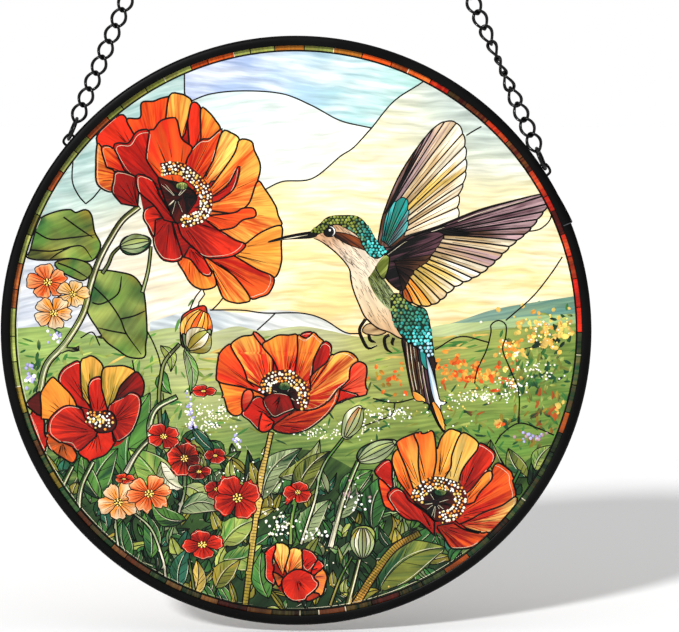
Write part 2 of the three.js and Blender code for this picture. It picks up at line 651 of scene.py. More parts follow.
def inside(points: np.ndarray, outline: np.ndarray) -> np.ndarray:
    """Tests which points lie inside a closed outline.

    Args:
        points: The points.
        outline: The outline's corners in order.

    Returns:
        One truth value for each point.
    """
    found = np.zeros(len(points), bool)
    near = np.flatnonzero(np.all((points >= outline.min(0)) & (points <= outline.max(0)), axis=1))
    if not len(near):
        return found
    x, z = points[near, 0][:, None], points[near, 1][:, None]
    x0, z0 = outline[:, 0], outline[:, 1]
    x1, z1 = np.roll(x0, -1), np.roll(z0, -1)
    crosses = (z0 > z) != (z1 > z)
    rise = np.where(z1 == z0, 1.0, z1 - z0)
    found[near] = np.sum(crosses & (x < (x1 - x0) * (z - z0) / rise + x0), axis=1) % 2 == 1
    return found


def waves(points: np.ndarray, scale: float, seed: int) -> np.ndarray:
    """Smooth random values over the plane, from -1 to 1.

    Args:
        points: Where they are read.
        scale: The size of the largest waves, in millimetres.
        seed: Which random field it is.

    Returns:
        One value for each point.
    """
    rng = np.random.default_rng(seed)
    total = np.zeros(len(points))
    for layer in range(6):
        turn, phase = rng.uniform(0, 2 * math.pi, 2)
        reach = 2 * math.pi / scale * 1.45**layer
        total += np.sin(points @ (reach * np.array([math.cos(turn), math.sin(turn)])) + phase) / 1.3**layer
    return total / 3.2


@dataclass(frozen=True)
class Wash:
    """One pool of colour in a broad painted area."""

    centre: Point
    spread: float
    code: str


def washed(points: np.ndarray, washes: Sequence[Wash]) -> np.ndarray:
    """The colours where pools of paint run into each other.

    Args:
        points: Where they are read.
        washes: The pools.

    Returns:
        A linear colour for each point.
    """
    drift = np.stack([waves(points, 46, 11), waves(points, 38, 12)], axis=1)
    moved = points + drift * (5.0, 3.0)
    total = np.zeros((len(points), 3))
    weight = np.full(len(points), 1e-9)
    for wash in washes:
        offset = (moved - wash.centre) * (0.72, 1.0)
        share = np.exp(-np.sum(offset**2, axis=1) / (2 * wash.spread**2)) + 1e-7 / (1 + np.sum(offset**2,
            axis=1))
        total += share[:, None] * linear(wash.code)
        weight += share
    return total / weight[:, None]


@dataclass
class Cell:
    """One painted pane: its outline, its two paints and the way that its grain runs."""

    outline: np.ndarray
    inner: Paint = Paint.CREAM
    outer: Paint = Paint.CREAM
    base: Optional[Point] = None
    angle: float = 0.0
    line: float = 0.6
    washes: Sequence[Wash] = ()
    lift: Paint = Paint.WHITE
    lift_share: float = 0.5
    folds: float = 0.1
    weave: float = 0.32
    shade: float = 1.0
    seed: int = 0

    def paint(self, points: np.ndarray) -> tuple[np.ndarray, np.ndarray, np.ndarray]:
        """Paints points of the pane.

        Args:
            points: The points.

        Returns:
            The tint and the accent, each with its fourth value, and the grain's coordinates.
        """
        if self.washes:
            return self._paint_washes(points)
        if self.base is not None:
            arm = points - self.base
            reach = np.linalg.norm(self.outline - self.base, axis=1).max() + 1e-6
            far = np.linalg.norm(arm, axis=1)
            turn = np.unwrap(np.arctan2(arm[:, 1], arm[:, 0]) - self._middle_turn(), period=2 * math.pi)
            turn = (turn + math.pi) % (2 * math.pi) - math.pi
            share = far / reach
            grain = np.stack([far, turn * reach * 0.62], axis=1)
            fold = np.sin(turn * reach * 0.55 + self.seed)
        else:
            axis = np.array([math.cos(self.angle), math.sin(self.angle)])
            side = np.array([-axis[1], axis[0]])
            low, high = (self.outline @ axis).min(), (self.outline @ axis).max()
            share = (points @ axis - low) / (high - low + 1e-6)
            grain = np.stack([points @ axis, points @ side], axis=1)
            fold = np.sin(points @ side * 0.9 + self.seed)
        level = self.shade * (1 + self.folds * fold) * (0.72 + 0.28 * np.clip(share * 2.5, 0, 1))
        rows = np.ones((len(points), 1))
        tint = np.hstack([rows * self.inner.rgb, (0.95 * share**2.0)[:, None]])
        accent = np.hstack([rows * self.outer.rgb, level[:, None]])
        return tint, accent, grain + (self.seed * 13.7, self.seed * 7.3)

    def _middle_turn(self) -> float:
        """The direction from the pane's base to its middle."""
        arm = self.outline.mean(axis=0) - self.base
        return math.atan2(arm[1], arm[0])

    def _paint_washes(self, points: np.ndarray) -> tuple[np.ndarray, np.ndarray, np.ndarray]:
        """Paints a broad area from its pools, its accent lifted towards another paint.

        Args:
            points: The points.

        Returns:
            The tint, the accent and the grain's coordinates.
        """
        colour = washed(points, self.washes)
        lifted = colour * (1 - self.lift_share) + self.lift.rgb * self.lift_share
        drawn_out = points * (0.35, 1.0)
        share = 0.36 + 0.45 * waves(drawn_out, 9, 21 + self.seed)
        level = self.shade * (1 + self.folds * waves(drawn_out, 17, 31 + self.seed))
        axis = np.array([math.cos(self.angle), math.sin(self.angle)])
        bent = points @ np.array([-axis[1], axis[0]]) + 0.8 * waves(points, 34, 41)
        grain = np.stack([points @ axis, bent], axis=1) * (0.6, self.weave)
        tint = np.hstack([colour, share[:, None]])
        return tint, np.hstack([lifted, level[:, None]]), grain + (self.seed * 13.7, self.seed * 7.3)


@dataclass
class Stroke:
    """One drawn line: its path, its width and how it thins towards its ends."""

    path: np.ndarray
    width: float = 0.3
    thin_start: float = 0.5
    thin_end: float = 0.35
    pale: bool = False
    layer: int = 0

    def widths(self) -> np.ndarray:
        """The line's width at each point of its path."""
        share = np.linspace(0, 1, len(self.path))
        ends = np.interp(share, [0, 0.3, 0.7, 1], [self.thin_start, 1, 1, self.thin_end])
        return self.width * ends


@dataclass
class Dot:
    """One raised dot of enamel."""

    place: Point
    radius: float
    colour: Colour
    layer: int


@dataclass
class Picture:
    """Everything that is drawn on the panel, back to front, in millimetres from its centre."""

    cells: list[Cell] = field(default_factory=list)
    strokes: list[Stroke] = field(default_factory=list)
    dots: list[Dot] = field(default_factory=list)

    def cell(self, outline: np.ndarray, **facts: object) -> Cell:
        """Lays a pane over what is there.

        Args:
            outline: The pane's closed outline.
            facts: The pane's other fields.

        Returns:
            The pane.
        """
        made = Cell(np.asarray(outline, float), **({"seed": len(self.cells)} | facts))
        self.cells.append(made)
        return made

    def blob(self, points: Points, **facts: object) -> Cell:
        """Lays a pane with a rounded closed outline.

        Args:
            points: The outline's points.
            facts: The pane's other fields.

        Returns:
            The pane.
        """
        return self.cell(smooth_path(points, closed=True), **facts)

    def line(self, points: Points, width: float = 0.3, **facts: object) -> None:
        """Draws a smooth line.

        Args:
            points: The points that it passes through.
            width: Its width.
            facts: Its other fields.
        """
        self.ink(smooth_path(points), width, **facts)

    def ink(self, path: np.ndarray, width: float, *thins: float, pale: bool = False, **facts: float) -> None:
        """Draws a line over the panes that are there now.

        Args:
            path: Its points.
            width: Its width.
            thins: How it thins at its start and its end.
            pale: Whether it is light.
            facts: Its other fields.
        """
        self.strokes.append(Stroke(path, width, *thins, pale=pale, layer=len(self.cells), **facts))

    def dot(self, place: Sequence[float], radius: float, paint: Colour) -> None:
        """Sets a raised dot."""
        self.dots.append(Dot((float(place[0]), float(place[1])), radius, paint, len(self.cells)))


# ---------------------------------------------------------------- the picture's broad areas


@dataclass(frozen=True)
class Land:
    """The sky's panes, the hills and the meadow, with the thin lines that part them."""

    edge: float = 104.0
    line: float = 0.5

    top_sky: Sequence[Wash] = (
        Wash((-25, 86), 16, "a9b8e2"),
        Wash((8, 80), 14, "b0d4e2"),
        Wash((32, 76), 14, "b4dfd0"),
    )
    cloud: Sequence[Wash] = (
        Wash((-22, 72), 16, "d6ece9"),
        Wash((5, 60), 16, "f8f6ea"),
    )
    gold_sky: Sequence[Wash] = (
        Wash((60, 72), 14, "a6bfc4"),
        Wash((25, 55), 18, "fbf1c4"),
        Wash((5, 35), 20, "fbe6a2"),
        Wash((20, 12), 16, "f6cc88"),
        Wash((80, 28), 16, "efdc9e"),
    )
    left_sky: Sequence[Wash] = (
        Wash((-75, 55), 14, "9fc4c0"),
        Wash((-45, 22), 16, "f4e4c4"),
        Wash((-85, 12), 12, "b0bcd2"),
    )
    meadow: Sequence[Wash] = (
        Wash((-60, -4), 18, "8faa5e"),
        Wash((-18, 2), 14, "c6cbb8"),
        Wash((-28, -14), 12, "cdbf80"),
        Wash((32, -8), 16, "b5a962"),
        Wash((-30, -38), 18, "5f8a3c"),
        Wash((50, -28), 20, "5c8634"),
        Wash((-70, -62), 20, "33552d"),
        Wash((10, -76), 26, "2a4a2b"),
    )
    far_hill: Sequence[Wash] = (
        Wash((60, 8), 14, "79998a"),
        Wash((92, 10), 10, "4f857a"),
    )
    near_hill: Sequence[Wash] = (
        Wash((45, 2), 14, "bcc694"),
        Wash((85, 6), 12, "8fb27c"),
    )
    haze: Sequence[Wash] = (
        Wash((-27.5, 4.5), 6, "b3bfc6"), Wash((-15.5, 3.5), 6, "c9cfd0"), Wash((1.5, 4.5), 6, "bfc6c6"),
        Wash((13, 2.5), 6, "cfd2c6"),
    )

    def draw(self, picture: Picture) -> None:
        """Lays the broad areas."""
        self._draw_sky(picture)
        self._draw_land(picture)

    def _draw_sky(self, picture: Picture) -> None:
        """Lays the sky's panes."""
        turns = np.linspace(0, 2 * math.pi, 180, endpoint=False)
        disc = self.edge * np.stack([np.cos(turns), np.sin(turns)], axis=1)
        facts = {"line": self.line, "folds": 0.05, "lift": Paint.WHITE}
        picture.cell(disc, washes=self.gold_sky, lift_share=0.4, **facts)
        cloud_top = [(-35.5, 78), (-28.5, 80.5), (-17.5, 81.5), (-4.5, 80.5), (5.5, 76.5), (15, 71.5),
                     (25.5, 69)]
        cloud_foot = [(25.5, 69), (19.5, 62.5), (15, 59.5), (5.5, 52), (-4.5, 51), (-11, 48)]
        crest = [(25.5, 69), (33, 78), (42, 84), (50.5, 90)]
        over = [(45.5, 105.5), (0, 112.5), (-37.5, 105.5), (-37.5, 81)]
        top = np.vstack([smooth_path(cloud_top), smooth_path(crest), np.array(over)])
        picture.cell(top, washes=self.top_sky, angle=-0.12, lift_share=0.5, **facts)
        foot = np.vstack([smooth_path(cloud_top), smooth_path(cloud_foot),
                          np.array([(-24, 39.5), (-42.5, 61.5)])])
        picture.cell(foot, washes=self.cloud, angle=0.1, lift_share=0.3, shade=0.97, **facts)
        left = [(-37.5, 105.5), (-37.5, 81), (-32.5, 61.5), (-31, 15), (-36, 0.5), (-59.5, -4.5),
                (-107, -4.5), (-107, 78.5)]
        picture.cell(np.array(left), washes=self.left_sky, angle=0.25, lift_share=0.45, **facts)

    def _draw_land(self, picture: Picture) -> None:
        """Lays the haze, the hills and the meadow."""
        facts = {"line": 0.0, "folds": 0.12, "lift": Paint.LIME, "weave": 0.7}
        picture.cell(np.vstack([smooth_path([(-49.5, 3.5), (-32.5, 8), (-19, 6.5), (-7, 7.5), (4.5, 6),
                                             (18.5, -0.5)]),
                                np.array([(18.5, -7), (-49.5, -7)])]),
                     washes=self.haze, angle=-0.3, line=0.0, folds=0.08, lift=Paint.WHITE, lift_share=0.5)
        picture.cell(np.vstack([smooth_path([(40.5, 0), (54, 3.5), (66, 7.5), (79.5, 10), (99.5, 13)]),
                                np.array([(103, -1), (42, -3)])]),
                     washes=self.far_hill, angle=0.2, lift_share=0.2, **facts)
        picture.cell(np.vstack([smooth_path([(35.5, -2), (49, 2.5), (62.5, 3.5), (79.5, 5.5), (99.5, 6.5)]),
                                np.array([(103, -6), (35.5, -6)])]),
                     washes=self.near_hill, angle=0.2, lift_share=0.3, **facts)
        picture.cell(np.vstack([smooth_path([(37, -4.5), (45.5, -1.5), (55.5, -0.5), (69, 2), (82.5, 0.5),
                                             (99.5, 2)]),
                                np.array([(103, -9.5), (35.5, -9.5)])]),
                     washes=self.near_hill, angle=0.25, lift_share=0.1, shade=0.85, **facts)
        brow = [(-103.5, 0.5), (-80, 2), (-63, -2), (-42.5, 1.5), (-31, -0.5), (-20.5, 2), (-11.5, 0.5),
                (1.5, 2),
                (11.5, 0.5), (21.5, -1.5), (35.5, -0.5), (49, -1.5), (62.5, 0.5), (79.5, 2), (103, 3.5)]
        ground = np.vstack([smooth_path(brow), np.array([(110, -30), (89.5, -97.5), (0, -111), (-80, -97.5),
                                                         (-107, -30)])])
        picture.cell(ground, washes=self.meadow, angle=0.12, lift_share=0.35,
                     **(facts | {"folds": 0.3}))

    def draw_shade(self, picture: Picture) -> None:
        """Darkens the foot of the meadow, where the stems and leaves stand."""
        brow = [(-99, -34), (-80, -50), (-62, -46), (-45, -44), (-28, -52), (-12, -44), (4, -40), (20, -47),
                (30, -56), (44, -78), (66, -70), (78, -44), (99, -38)]
        ground = np.vstack([smooth_path(brow), np.array([(99, -99), (-99, -99)])])
        picture.cell(ground, washes=self.meadow, angle=0.8, lift=Paint.DEEP, lift_share=0.8, line=0.0,
                     shade=0.62, folds=0.5, weave=0.8)

    def draw_lines(self, picture: Picture) -> None:
        """Draws the lines that cross the sky and the meadow."""
        runs = (
            [(-37.5, 88), (-37.5, 81)],
            [(-75, 60), (-75.5, 51.5), (-73.5, 46.5), (-71, 43.5)],
            [(-71, 43.5), (-68.5, 45.5), (-66, 48.5)],
            [(62.5, 69.5), (59, 67.5), (56, 65.5)],
            [(90, 25.5), (86, 19.5), (80, 12), (71, 4)],
            [(-31.5, 15), (-34, 12), (-36, 7.5)],
            [(-23, 14), (-26, 10), (-28.5, 7.5)],
            [(-33.5, 7.5), (-19, 7.5), (-10.5, 6.5), (1.5, 6.5), (9, 4.5), (16.5, 0), (21.5, -0.5)],
            [(-7, 6.5), (-9.5, 4), (-14, 0)],
            [(47, -6), (55.5, -1.5), (65.5, -3.5)],
            [(60.5, -17.5), (61.5, -12.5), (64.5, -6), (66, 0), (66, 2.5), (68.5, 4), (71, 2.5), (71, -1.5),
             (70, -6),
             (72.5, -12.5), (75.5, -20.5), (75.5, -31)],
            [(67, -39), (70, -34.5), (75.5, -31), (81.5, -32.5), (88.5, -35.5)],
            [(67.5, -40), (72.5, -48.5), (75, -55.5)],
            [(85.5, 42.5), (86, 38.5), (82.5, 35), (77.5, 34)],
            [(26, -22.5), (33.5, -24), (42, -22)],
            [(33.5, -24), (32.5, -28), (28, -30), (22.5, -32)],
            [(-50.5, 0.5), (-48, -4.5), (-46, -11), (-45, -23)],
            [(-55.5, -9.5), (-54, -18), (-52.5, -25)],
            [(-66.5, -4.5), (-69, 0), (-73, -2)],
        )
        for run in runs:
            picture.line(run, self.line, thin_start=1.0, thin_end=1.0)


@dataclass(frozen=True)
class MosaicBorder:
    """The ring of small tiles inside the rim, with the round line that closes it."""

    inner: float = 95.0
    outer: float = 98.6
    ring_line: float = 0.62
    arcs: Sequence[tuple[float, Sequence[Paint]]] = (
        (0, (Paint.RED, Paint.MAROON, Paint.SCARLET)),
        (60, (Paint.AMBER, Paint.ORANGE, Paint.LIME)),
        (110, (Paint.RUST, Paint.LIME, Paint.MOSS)),
        (190, (Paint.OLIVE, Paint.BROWN, Paint.PINE)),
        (240, (Paint.UMBER, Paint.BROWN, Paint.DEEP)),
        (300, (Paint.PINE, Paint.DEEP, Paint.RUST)),
    )
    tile_deg: tuple[float, float] = (3.2, 6.2)

    def draw(self, picture: Picture) -> None:
        """Lays the tiles, draws the joints between them and closes the ring."""
        rng = np.random.default_rng(SEED)
        starts = np.array([start for start, _ in self.arcs])
        turn = 0.0
        while turn < 360:
            width = min(float(rng.uniform(*self.tile_deg)), 360 - turn)
            paints = self.arcs[int(np.searchsorted(starts, turn + width / 2, side="right")) - 1][1]
            code = paints[int(rng.integers(len(paints)))].value
            self._draw_tile(picture, turn, turn + width, code, rng)
            turn += width
        angles = np.radians(np.linspace(0, 360, 361))
        ring = self.inner * np.stack([np.cos(angles), np.sin(angles)], axis=1)
        picture.ink(ring, self.ring_line, 1.0, 1.0)
        # Painted highlight: a pale line just inside the ring, only along its left and bottom, where the edge
        # catches the light.
        for start, end in ((120, 262), (268, 312)):
            glint = (self.inner - 0.62) * np.stack([np.cos(angles[start:end]), np.sin(angles[start:end])],
                                                   axis=1)
            picture.ink(glint, 0.2, 0.2, 0.2, pale=True)

    def _draw_tile(self, picture: Picture, start: float, end: float, code: str,
                   rng: np.random.Generator) -> None:
        """Lays one tile and its joint.

        Args:
            picture: The picture.
            start: The tile's first angle, in degrees.
            end: Its last angle.
            code: Its paint.
            rng: Where its variation comes from.
        """
        turns = np.radians(np.linspace(start, end, 8))
        arc = np.stack([np.cos(turns), np.sin(turns)], axis=1)
        outline = np.vstack([arc * self.inner, arc[::-1] * self.outer])
        wash = (Wash((float(arc[3, 0] * self.inner), float(arc[3, 1] * self.inner)), 9.0, code),)
        lift = (Paint.GOLD, Paint.LIME, Paint.SCARLET)[int(rng.integers(3))]
        cell = picture.cell(outline, washes=wash, line=0.0, folds=0.6, angle=float(turns[3]), weave=0.8,
                            lift=lift, lift_share=0.13, shade=float(rng.uniform(0.5, 1.2)))
        cell.seed += int(rng.integers(50))
        joint = np.linspace(self.inner, self.outer, 5)[:, None] * arc[0]
        picture.ink(joint, 0.34, 1.0, 1.0, pale=bool(rng.random() < 0.2))


# ---------------------------------------------------------------- leaves, stems and buds


@dataclass(frozen=True)
class Leaf:
    """A leaf drawn as two halves along a bent midrib, with side veins."""

    base: Point
    tip: Point
    half_width: float
    bend: float = 0.1
    inner: Paint = Paint.FERN
    outer: Paint = Paint.LEAF
    line: float = 0.34
    veins: int = 3
    shade: float = 1.0
    glint: bool = True

    def draw(self, picture: Picture) -> None:
        """Lays the two halves and draws the veins and glints."""
        base, tip = np.array(self.base), np.array(self.tip)
        arm = tip - base
        side = np.array([-arm[1], arm[0]])
        t = np.linspace(0, 1, max(6, int(np.linalg.norm(arm) / 1.3)))[:, None]
        rib = base + arm * t + side * (4 * self.bend * t * (1 - t))
        swell = np.sin(math.pi * t**0.8) ** 0.9 * (side / np.linalg.norm(side)) * self.half_width
        angle = math.atan2(arm[1], arm[0])
        for sign, inner, outer, level in ((1, self.inner, self.outer, 1.1),
                                          (-1, self.outer, self.inner, 0.88)):
            edge = rib + sign * swell
            picture.cell(np.vstack([rib, edge[::-1]]), inner=inner, outer=outer, angle=angle + sign * 0.5,
                         line=self.line, shade=level * self.shade, folds=0.22)
            for k in range(self.veins):
                start = int((0.15 + 0.6 * k / self.veins) * (len(rib) - 1))
                end = min(len(rib) - 1, start + max(1, len(rib) // 5))
                picture.ink(np.linspace(rib[start], 0.12 * rib[end] + 0.88 * edge[end], 5), 0.2)
        if self.glint:
            picture.ink(rib + swell * 0.12, 0.18, 0.6, 0.3, pale=True)
            picture.ink((rib - swell * 0.9)[2:-1], 0.17, 0.3, 0.3, pale=True)


@dataclass(frozen=True)
class Stem:
    """A stem, light along its middle, with rungs across it where it is ridged."""

    points: Points
    width: float = 0.9
    paint: Paint = Paint.SAGE
    light: Paint = Paint.CREAM
    rungs: float = 0.0
    line: float = 0.5

    def draw(self, picture: Picture) -> None:
        """Lays the stem and its rungs."""
        path = smooth_path(self.points)
        arm = path[-1] - path[0]
        picture.cell(ribbon(path, self.width * 0.85, self.width * 1.1), inner=self.paint, outer=self.light,
                     angle=math.atan2(arm[1], arm[0]), line=self.line, folds=0.5, shade=0.8)
        side = np.gradient(path, axis=0)[:, ::-1] * (-1, 1)
        side /= np.linalg.norm(side, axis=1)[:, None]
        if self.width > 1.2 and not self.rungs:
            picture.ink(path + side * self.width * 0.17, self.width * 0.26, 0.6, 0.6, pale=True)
            picture.ink(path - side * self.width * 0.22, 0.22, 0.6, 0.6)
        if self.rungs:
            run = np.linalg.norm(np.diff(path, axis=0), axis=1).sum()
            shares = np.arange(self.rungs, run, self.rungs) / run
            middle, ahead = along(path, shares), along(path, np.minimum(shares + 0.01, 1))
            for point, onward in zip(middle, ahead):
                across = (onward - point) / (np.linalg.norm(onward - point) + 1e-9) * self.width / 2
                across = np.array([-across[1], across[0]])
                picture.ink(np.linspace(point - across, point + across, 3), 0.2, 1, 1)


@dataclass(frozen=True)
class Bud:
    """A closed bud: an oval laid with slim panes from its foot to its tip, in turning paints."""

    outline: Points
    foot: Point
    tip: Point
    paints: Sequence[Paint] = (Paint.MOSS, Paint.CREAM, Paint.SAGE)
    stripes: int = 5
    line: float = 0.45
    heel: Paint = Paint.SAGE

    def draw(self, picture: Picture) -> None:
        """Lays the bud and its slim panes."""
        cell = picture.blob(self.outline, inner=Paint.PINE, outer=self.paints[0], base=self.foot, line=0.55)
        foot, tip = np.array(self.foot), np.array(self.tip)
        arm = tip - foot
        side = np.array([-arm[1], arm[0]]) / np.linalg.norm(arm)
        reach = np.abs((cell.outline - foot) @ side).max() * 0.92
        t = np.linspace(0, 1, 12)[:, None]
        spine = foot + arm * (0.03 + 0.9 * t)
        bulge = side * reach * np.sin(math.pi * (0.06 + 0.86 * t)) ** 0.8
        for k in range(self.stripes):
            low, high = (2 * (k + share) / self.stripes - 1 for share in (0.0, 1.0))
            slim = np.vstack([spine + bulge * low, (spine + bulge * high)[::-1]])
            paint = self.paints[k % len(self.paints)]
            picture.cell(slim, inner=self.heel, outer=paint, base=self.foot, line=0.36, folds=0.3)


@dataclass(frozen=True)
class Blossom:
    """A small open flower: round petals about a centre, seen at a slant."""

    centre: Point
    radius: float
    petals: int = 5
    turn: float = 0.3
    squeeze: float = 0.85
    inner: Paint = Paint.PEACH
    outer: Paint = Paint.SALMON
    heart: Paint = Paint.YELLOW
    line: float = 0.34
    notch: float = 0.14

    def draw(self, picture: Picture) -> None:
        """Lays the petals, their veins and the dots of the heart."""
        centre = np.array(self.centre)
        rng = np.random.default_rng(int(abs(centre[0] * 31 + centre[1] * 17)) + 3)
        step = 2 * math.pi / self.petals
        for k in range(self.petals):
            middle = self.turn + k * step + rng.uniform(-0.08, 0.08)
            reach = self.radius * rng.uniform(0.88, 1.08)
            turns = np.linspace(-0.52, 0.52, 13)
            swell = np.cos(turns / 0.52 * math.pi / 2) ** 0.3 * (1 - self.notch * np.exp(-(turns * 9) ** 2))
            swell = swell * (1 + 0.06 * np.sin(turns * 21 + k))
            rim = np.stack([np.cos(middle + turns * step * 1.06), np.sin(middle + turns * step * 1.06)],
                           axis=1)
            rim *= (reach * (0.3 + 0.7 * swell))[:, None] * (1, self.squeeze)
            picture.cell(centre + np.vstack([[[0, 0]], rim]), inner=self.inner, outer=self.outer,
                         base=tuple(centre), line=self.line, folds=0.18)
            for off in (-0.22, 0.0, 0.22):
                arm = np.array([math.cos(middle + off * step), math.sin(middle + off * step) * self.squeeze])
                vein = centre + arm * reach * np.linspace(0.2, 0.72, 4)[:, None]
                picture.ink(vein, 0.17, 1.0, 0.3)
            picture.ink(centre + rim[2:-2] * 0.93, 0.13, 0.4, 0.4, pale=True)
        turns = np.linspace(0, 2 * math.pi, 7, endpoint=False)
        ring = np.stack([np.cos(turns), np.sin(turns) * self.squeeze], axis=1) * self.radius
        picture.cell(centre + ring * 0.2, inner=Paint.INK, outer=Paint.MAROON, line=0.3)
        for spot in (*(ring * 0.17), *(ring[::2] * 0.08)):
            picture.dot(centre + spot, self.radius * 0.045, self.heart.rgb)


# ---------------------------------------------------------------- the poppies


@dataclass(frozen=True)
class Pane:
    """One glass piece of a petal: its paints by its base and its rim, its base and its rim's points."""

    inner: Paint
    outer: Paint
    base: Optional[Point]
    rim: Points


@dataclass(frozen=True)
class Poppy:
    """A large poppy, its panes listed back to front in millimetres from its own centre."""

    centre: Point
    panes: Sequence[Pane]
    core: Points = ()
    beads: Points = ()
    ground: Points = ()
    pod: Optional[Point] = None
    line: float = 0.62
    bead_radius: float = 0.48
    bead_rows: int = 4
    bead_pitch: float = 1.12

    def draw(self, picture: Picture) -> None:
        """Lays the panes, the dark core, the seed pod and the ring of beads."""
        centre = np.array(self.centre)
        if self.ground:
            picture.blob(centre + np.array(self.ground), inner=Paint.CRIMSON, outer=Paint.RED, line=0.0,
                         angle=0.3)
        for pane in self.panes:
            if pane.base is None:
                rim = smooth_path(pane.rim, closed=True)
                base = np.mean(rim, axis=0) * 0.3
            else:
                rim = np.vstack([[pane.base], smooth_path(pane.rim)])
                base = np.array(pane.base)
            picture.cell(centre + rim, inner=pane.inner, outer=pane.outer, base=tuple(centre + base),
                         line=self.line, folds=0.2)
            if pane.inner in (Paint.RED, Paint.CRIMSON):
                glint = centre + base + (rim[1:] - base) * 0.95
                picture.ink(glint, 0.15, 0.3, 0.3, pale=True)
            self._draw_veins(picture, centre + rim, centre + base)
        if self.core:
            picture.blob(centre + np.array(self.core), inner=Paint.INK, outer=Paint.MAROON, line=self.line,
                         base=tuple(centre))
            self._draw_heart(picture, centre)
            self._draw_beads(picture, centre)

    def _draw_veins(self, picture: Picture, outline: np.ndarray, base: np.ndarray) -> None:
        """Draws fine dark veins that fan out from a pane's base.

        Args:
            picture: The picture.
            outline: The pane's outline.
            base: Where its veins start.
        """
        rng = np.random.default_rng(len(picture.cells))
        reach = np.linalg.norm(outline - base, axis=1).max()
        arm = outline.mean(axis=0) - base
        middle = math.atan2(arm[1], arm[0])
        for offset in rng.uniform(-0.5, 0.5, 5):
            turn = middle + offset
            run = np.linspace(rng.uniform(0.08, 0.25), rng.uniform(0.4, 0.8), 9)[:, None] * reach
            bend = 0.05 * reach * offset * np.linspace(0, 1, 9)[:, None] ** 2
            vein = base + run * (math.cos(turn), math.sin(turn)) + bend * (-math.sin(turn), math.cos(turn))
            kept = vein[inside(vein, outline)]
            if len(kept) > 3:
                picture.ink(kept, 0.24, 1.0, 0.15)

    def _draw_heart(self, picture: Picture, centre: np.ndarray) -> None:
        """Draws the pod and the dark threads about it.

        Args:
            picture: The picture.
            centre: The flower's centre.
        """
        rng = np.random.default_rng(SEED + int(abs(centre[0])))
        core = centre + smooth_path(self.core, closed=True)
        middle = core.mean(axis=0)
        for _ in range(26):
            turn = rng.uniform(0, 2 * math.pi)
            reach = np.linspace(1.2, rng.uniform(3.0, 7.5), 6)[:, None]
            thread = middle + reach * (math.cos(turn), math.sin(turn))
            kept = thread[inside(thread, core)]
            if len(kept) > 2:
                picture.ink(kept, 0.14, 0.8, 0.3, pale=bool(rng.random() < 0.35))
        if self.pod:
            pod = centre + np.array(self.pod)
            turns = np.linspace(0, 2 * math.pi, 18, endpoint=False)
            oval = pod + np.stack([2.1 * np.cos(turns), 1.3 * np.sin(turns)], axis=1)
            picture.cell(oval, inner=Paint.PINE, outer=Paint.LIME, line=0.3, angle=math.pi / 2)
            for turn in turns[::2]:
                ray = pod + np.linspace(0.2, 1.6, 3)[:, None] * (math.cos(turn), 0.62 * math.sin(turn))
                picture.ink(ray, 0.18)

    def _draw_beads(self, picture: Picture, centre: np.ndarray) -> None:
        """Scatters the beads of the stamens in rows along their arc.

        Args:
            picture: The picture.
            centre: The flower's centre.
        """
        rng = np.random.default_rng(SEED + 5)
        arc = smooth_path(self.beads, 0.5)
        band = self.bead_rows * self.bead_pitch
        picture.cell(centre + ribbon(arc, band, band), inner=Paint.UMBER, outer=Paint.MAROON, line=0.0)
        length = np.linalg.norm(np.diff(arc, axis=0), axis=1).sum()
        paints = (Paint.WHITE, Paint.CREAM, Paint.CREAM, Paint.STRAW, Paint.AMBER)
        side = np.gradient(arc, axis=0)[:, ::-1] * (-1, 1)
        side /= np.linalg.norm(side, axis=1)[:, None]
        for row in range(self.bead_rows):
            offset = (row - (self.bead_rows - 1) / 2) * self.bead_pitch
            count = int(length / self.bead_pitch)
            shares = (np.arange(count) + 0.5 * (row % 2) + rng.uniform(-0.15, 0.15, count)) / count
            for point in along(arc + side * offset, np.clip(shares, 0, 1)) + rng.normal(0, 0.17, (count, 2)):
                paint = paints[int(rng.integers(len(paints)))]
                picture.dot(centre + point, self.bead_radius * rng.uniform(0.65, 1.15), paint.rgb)


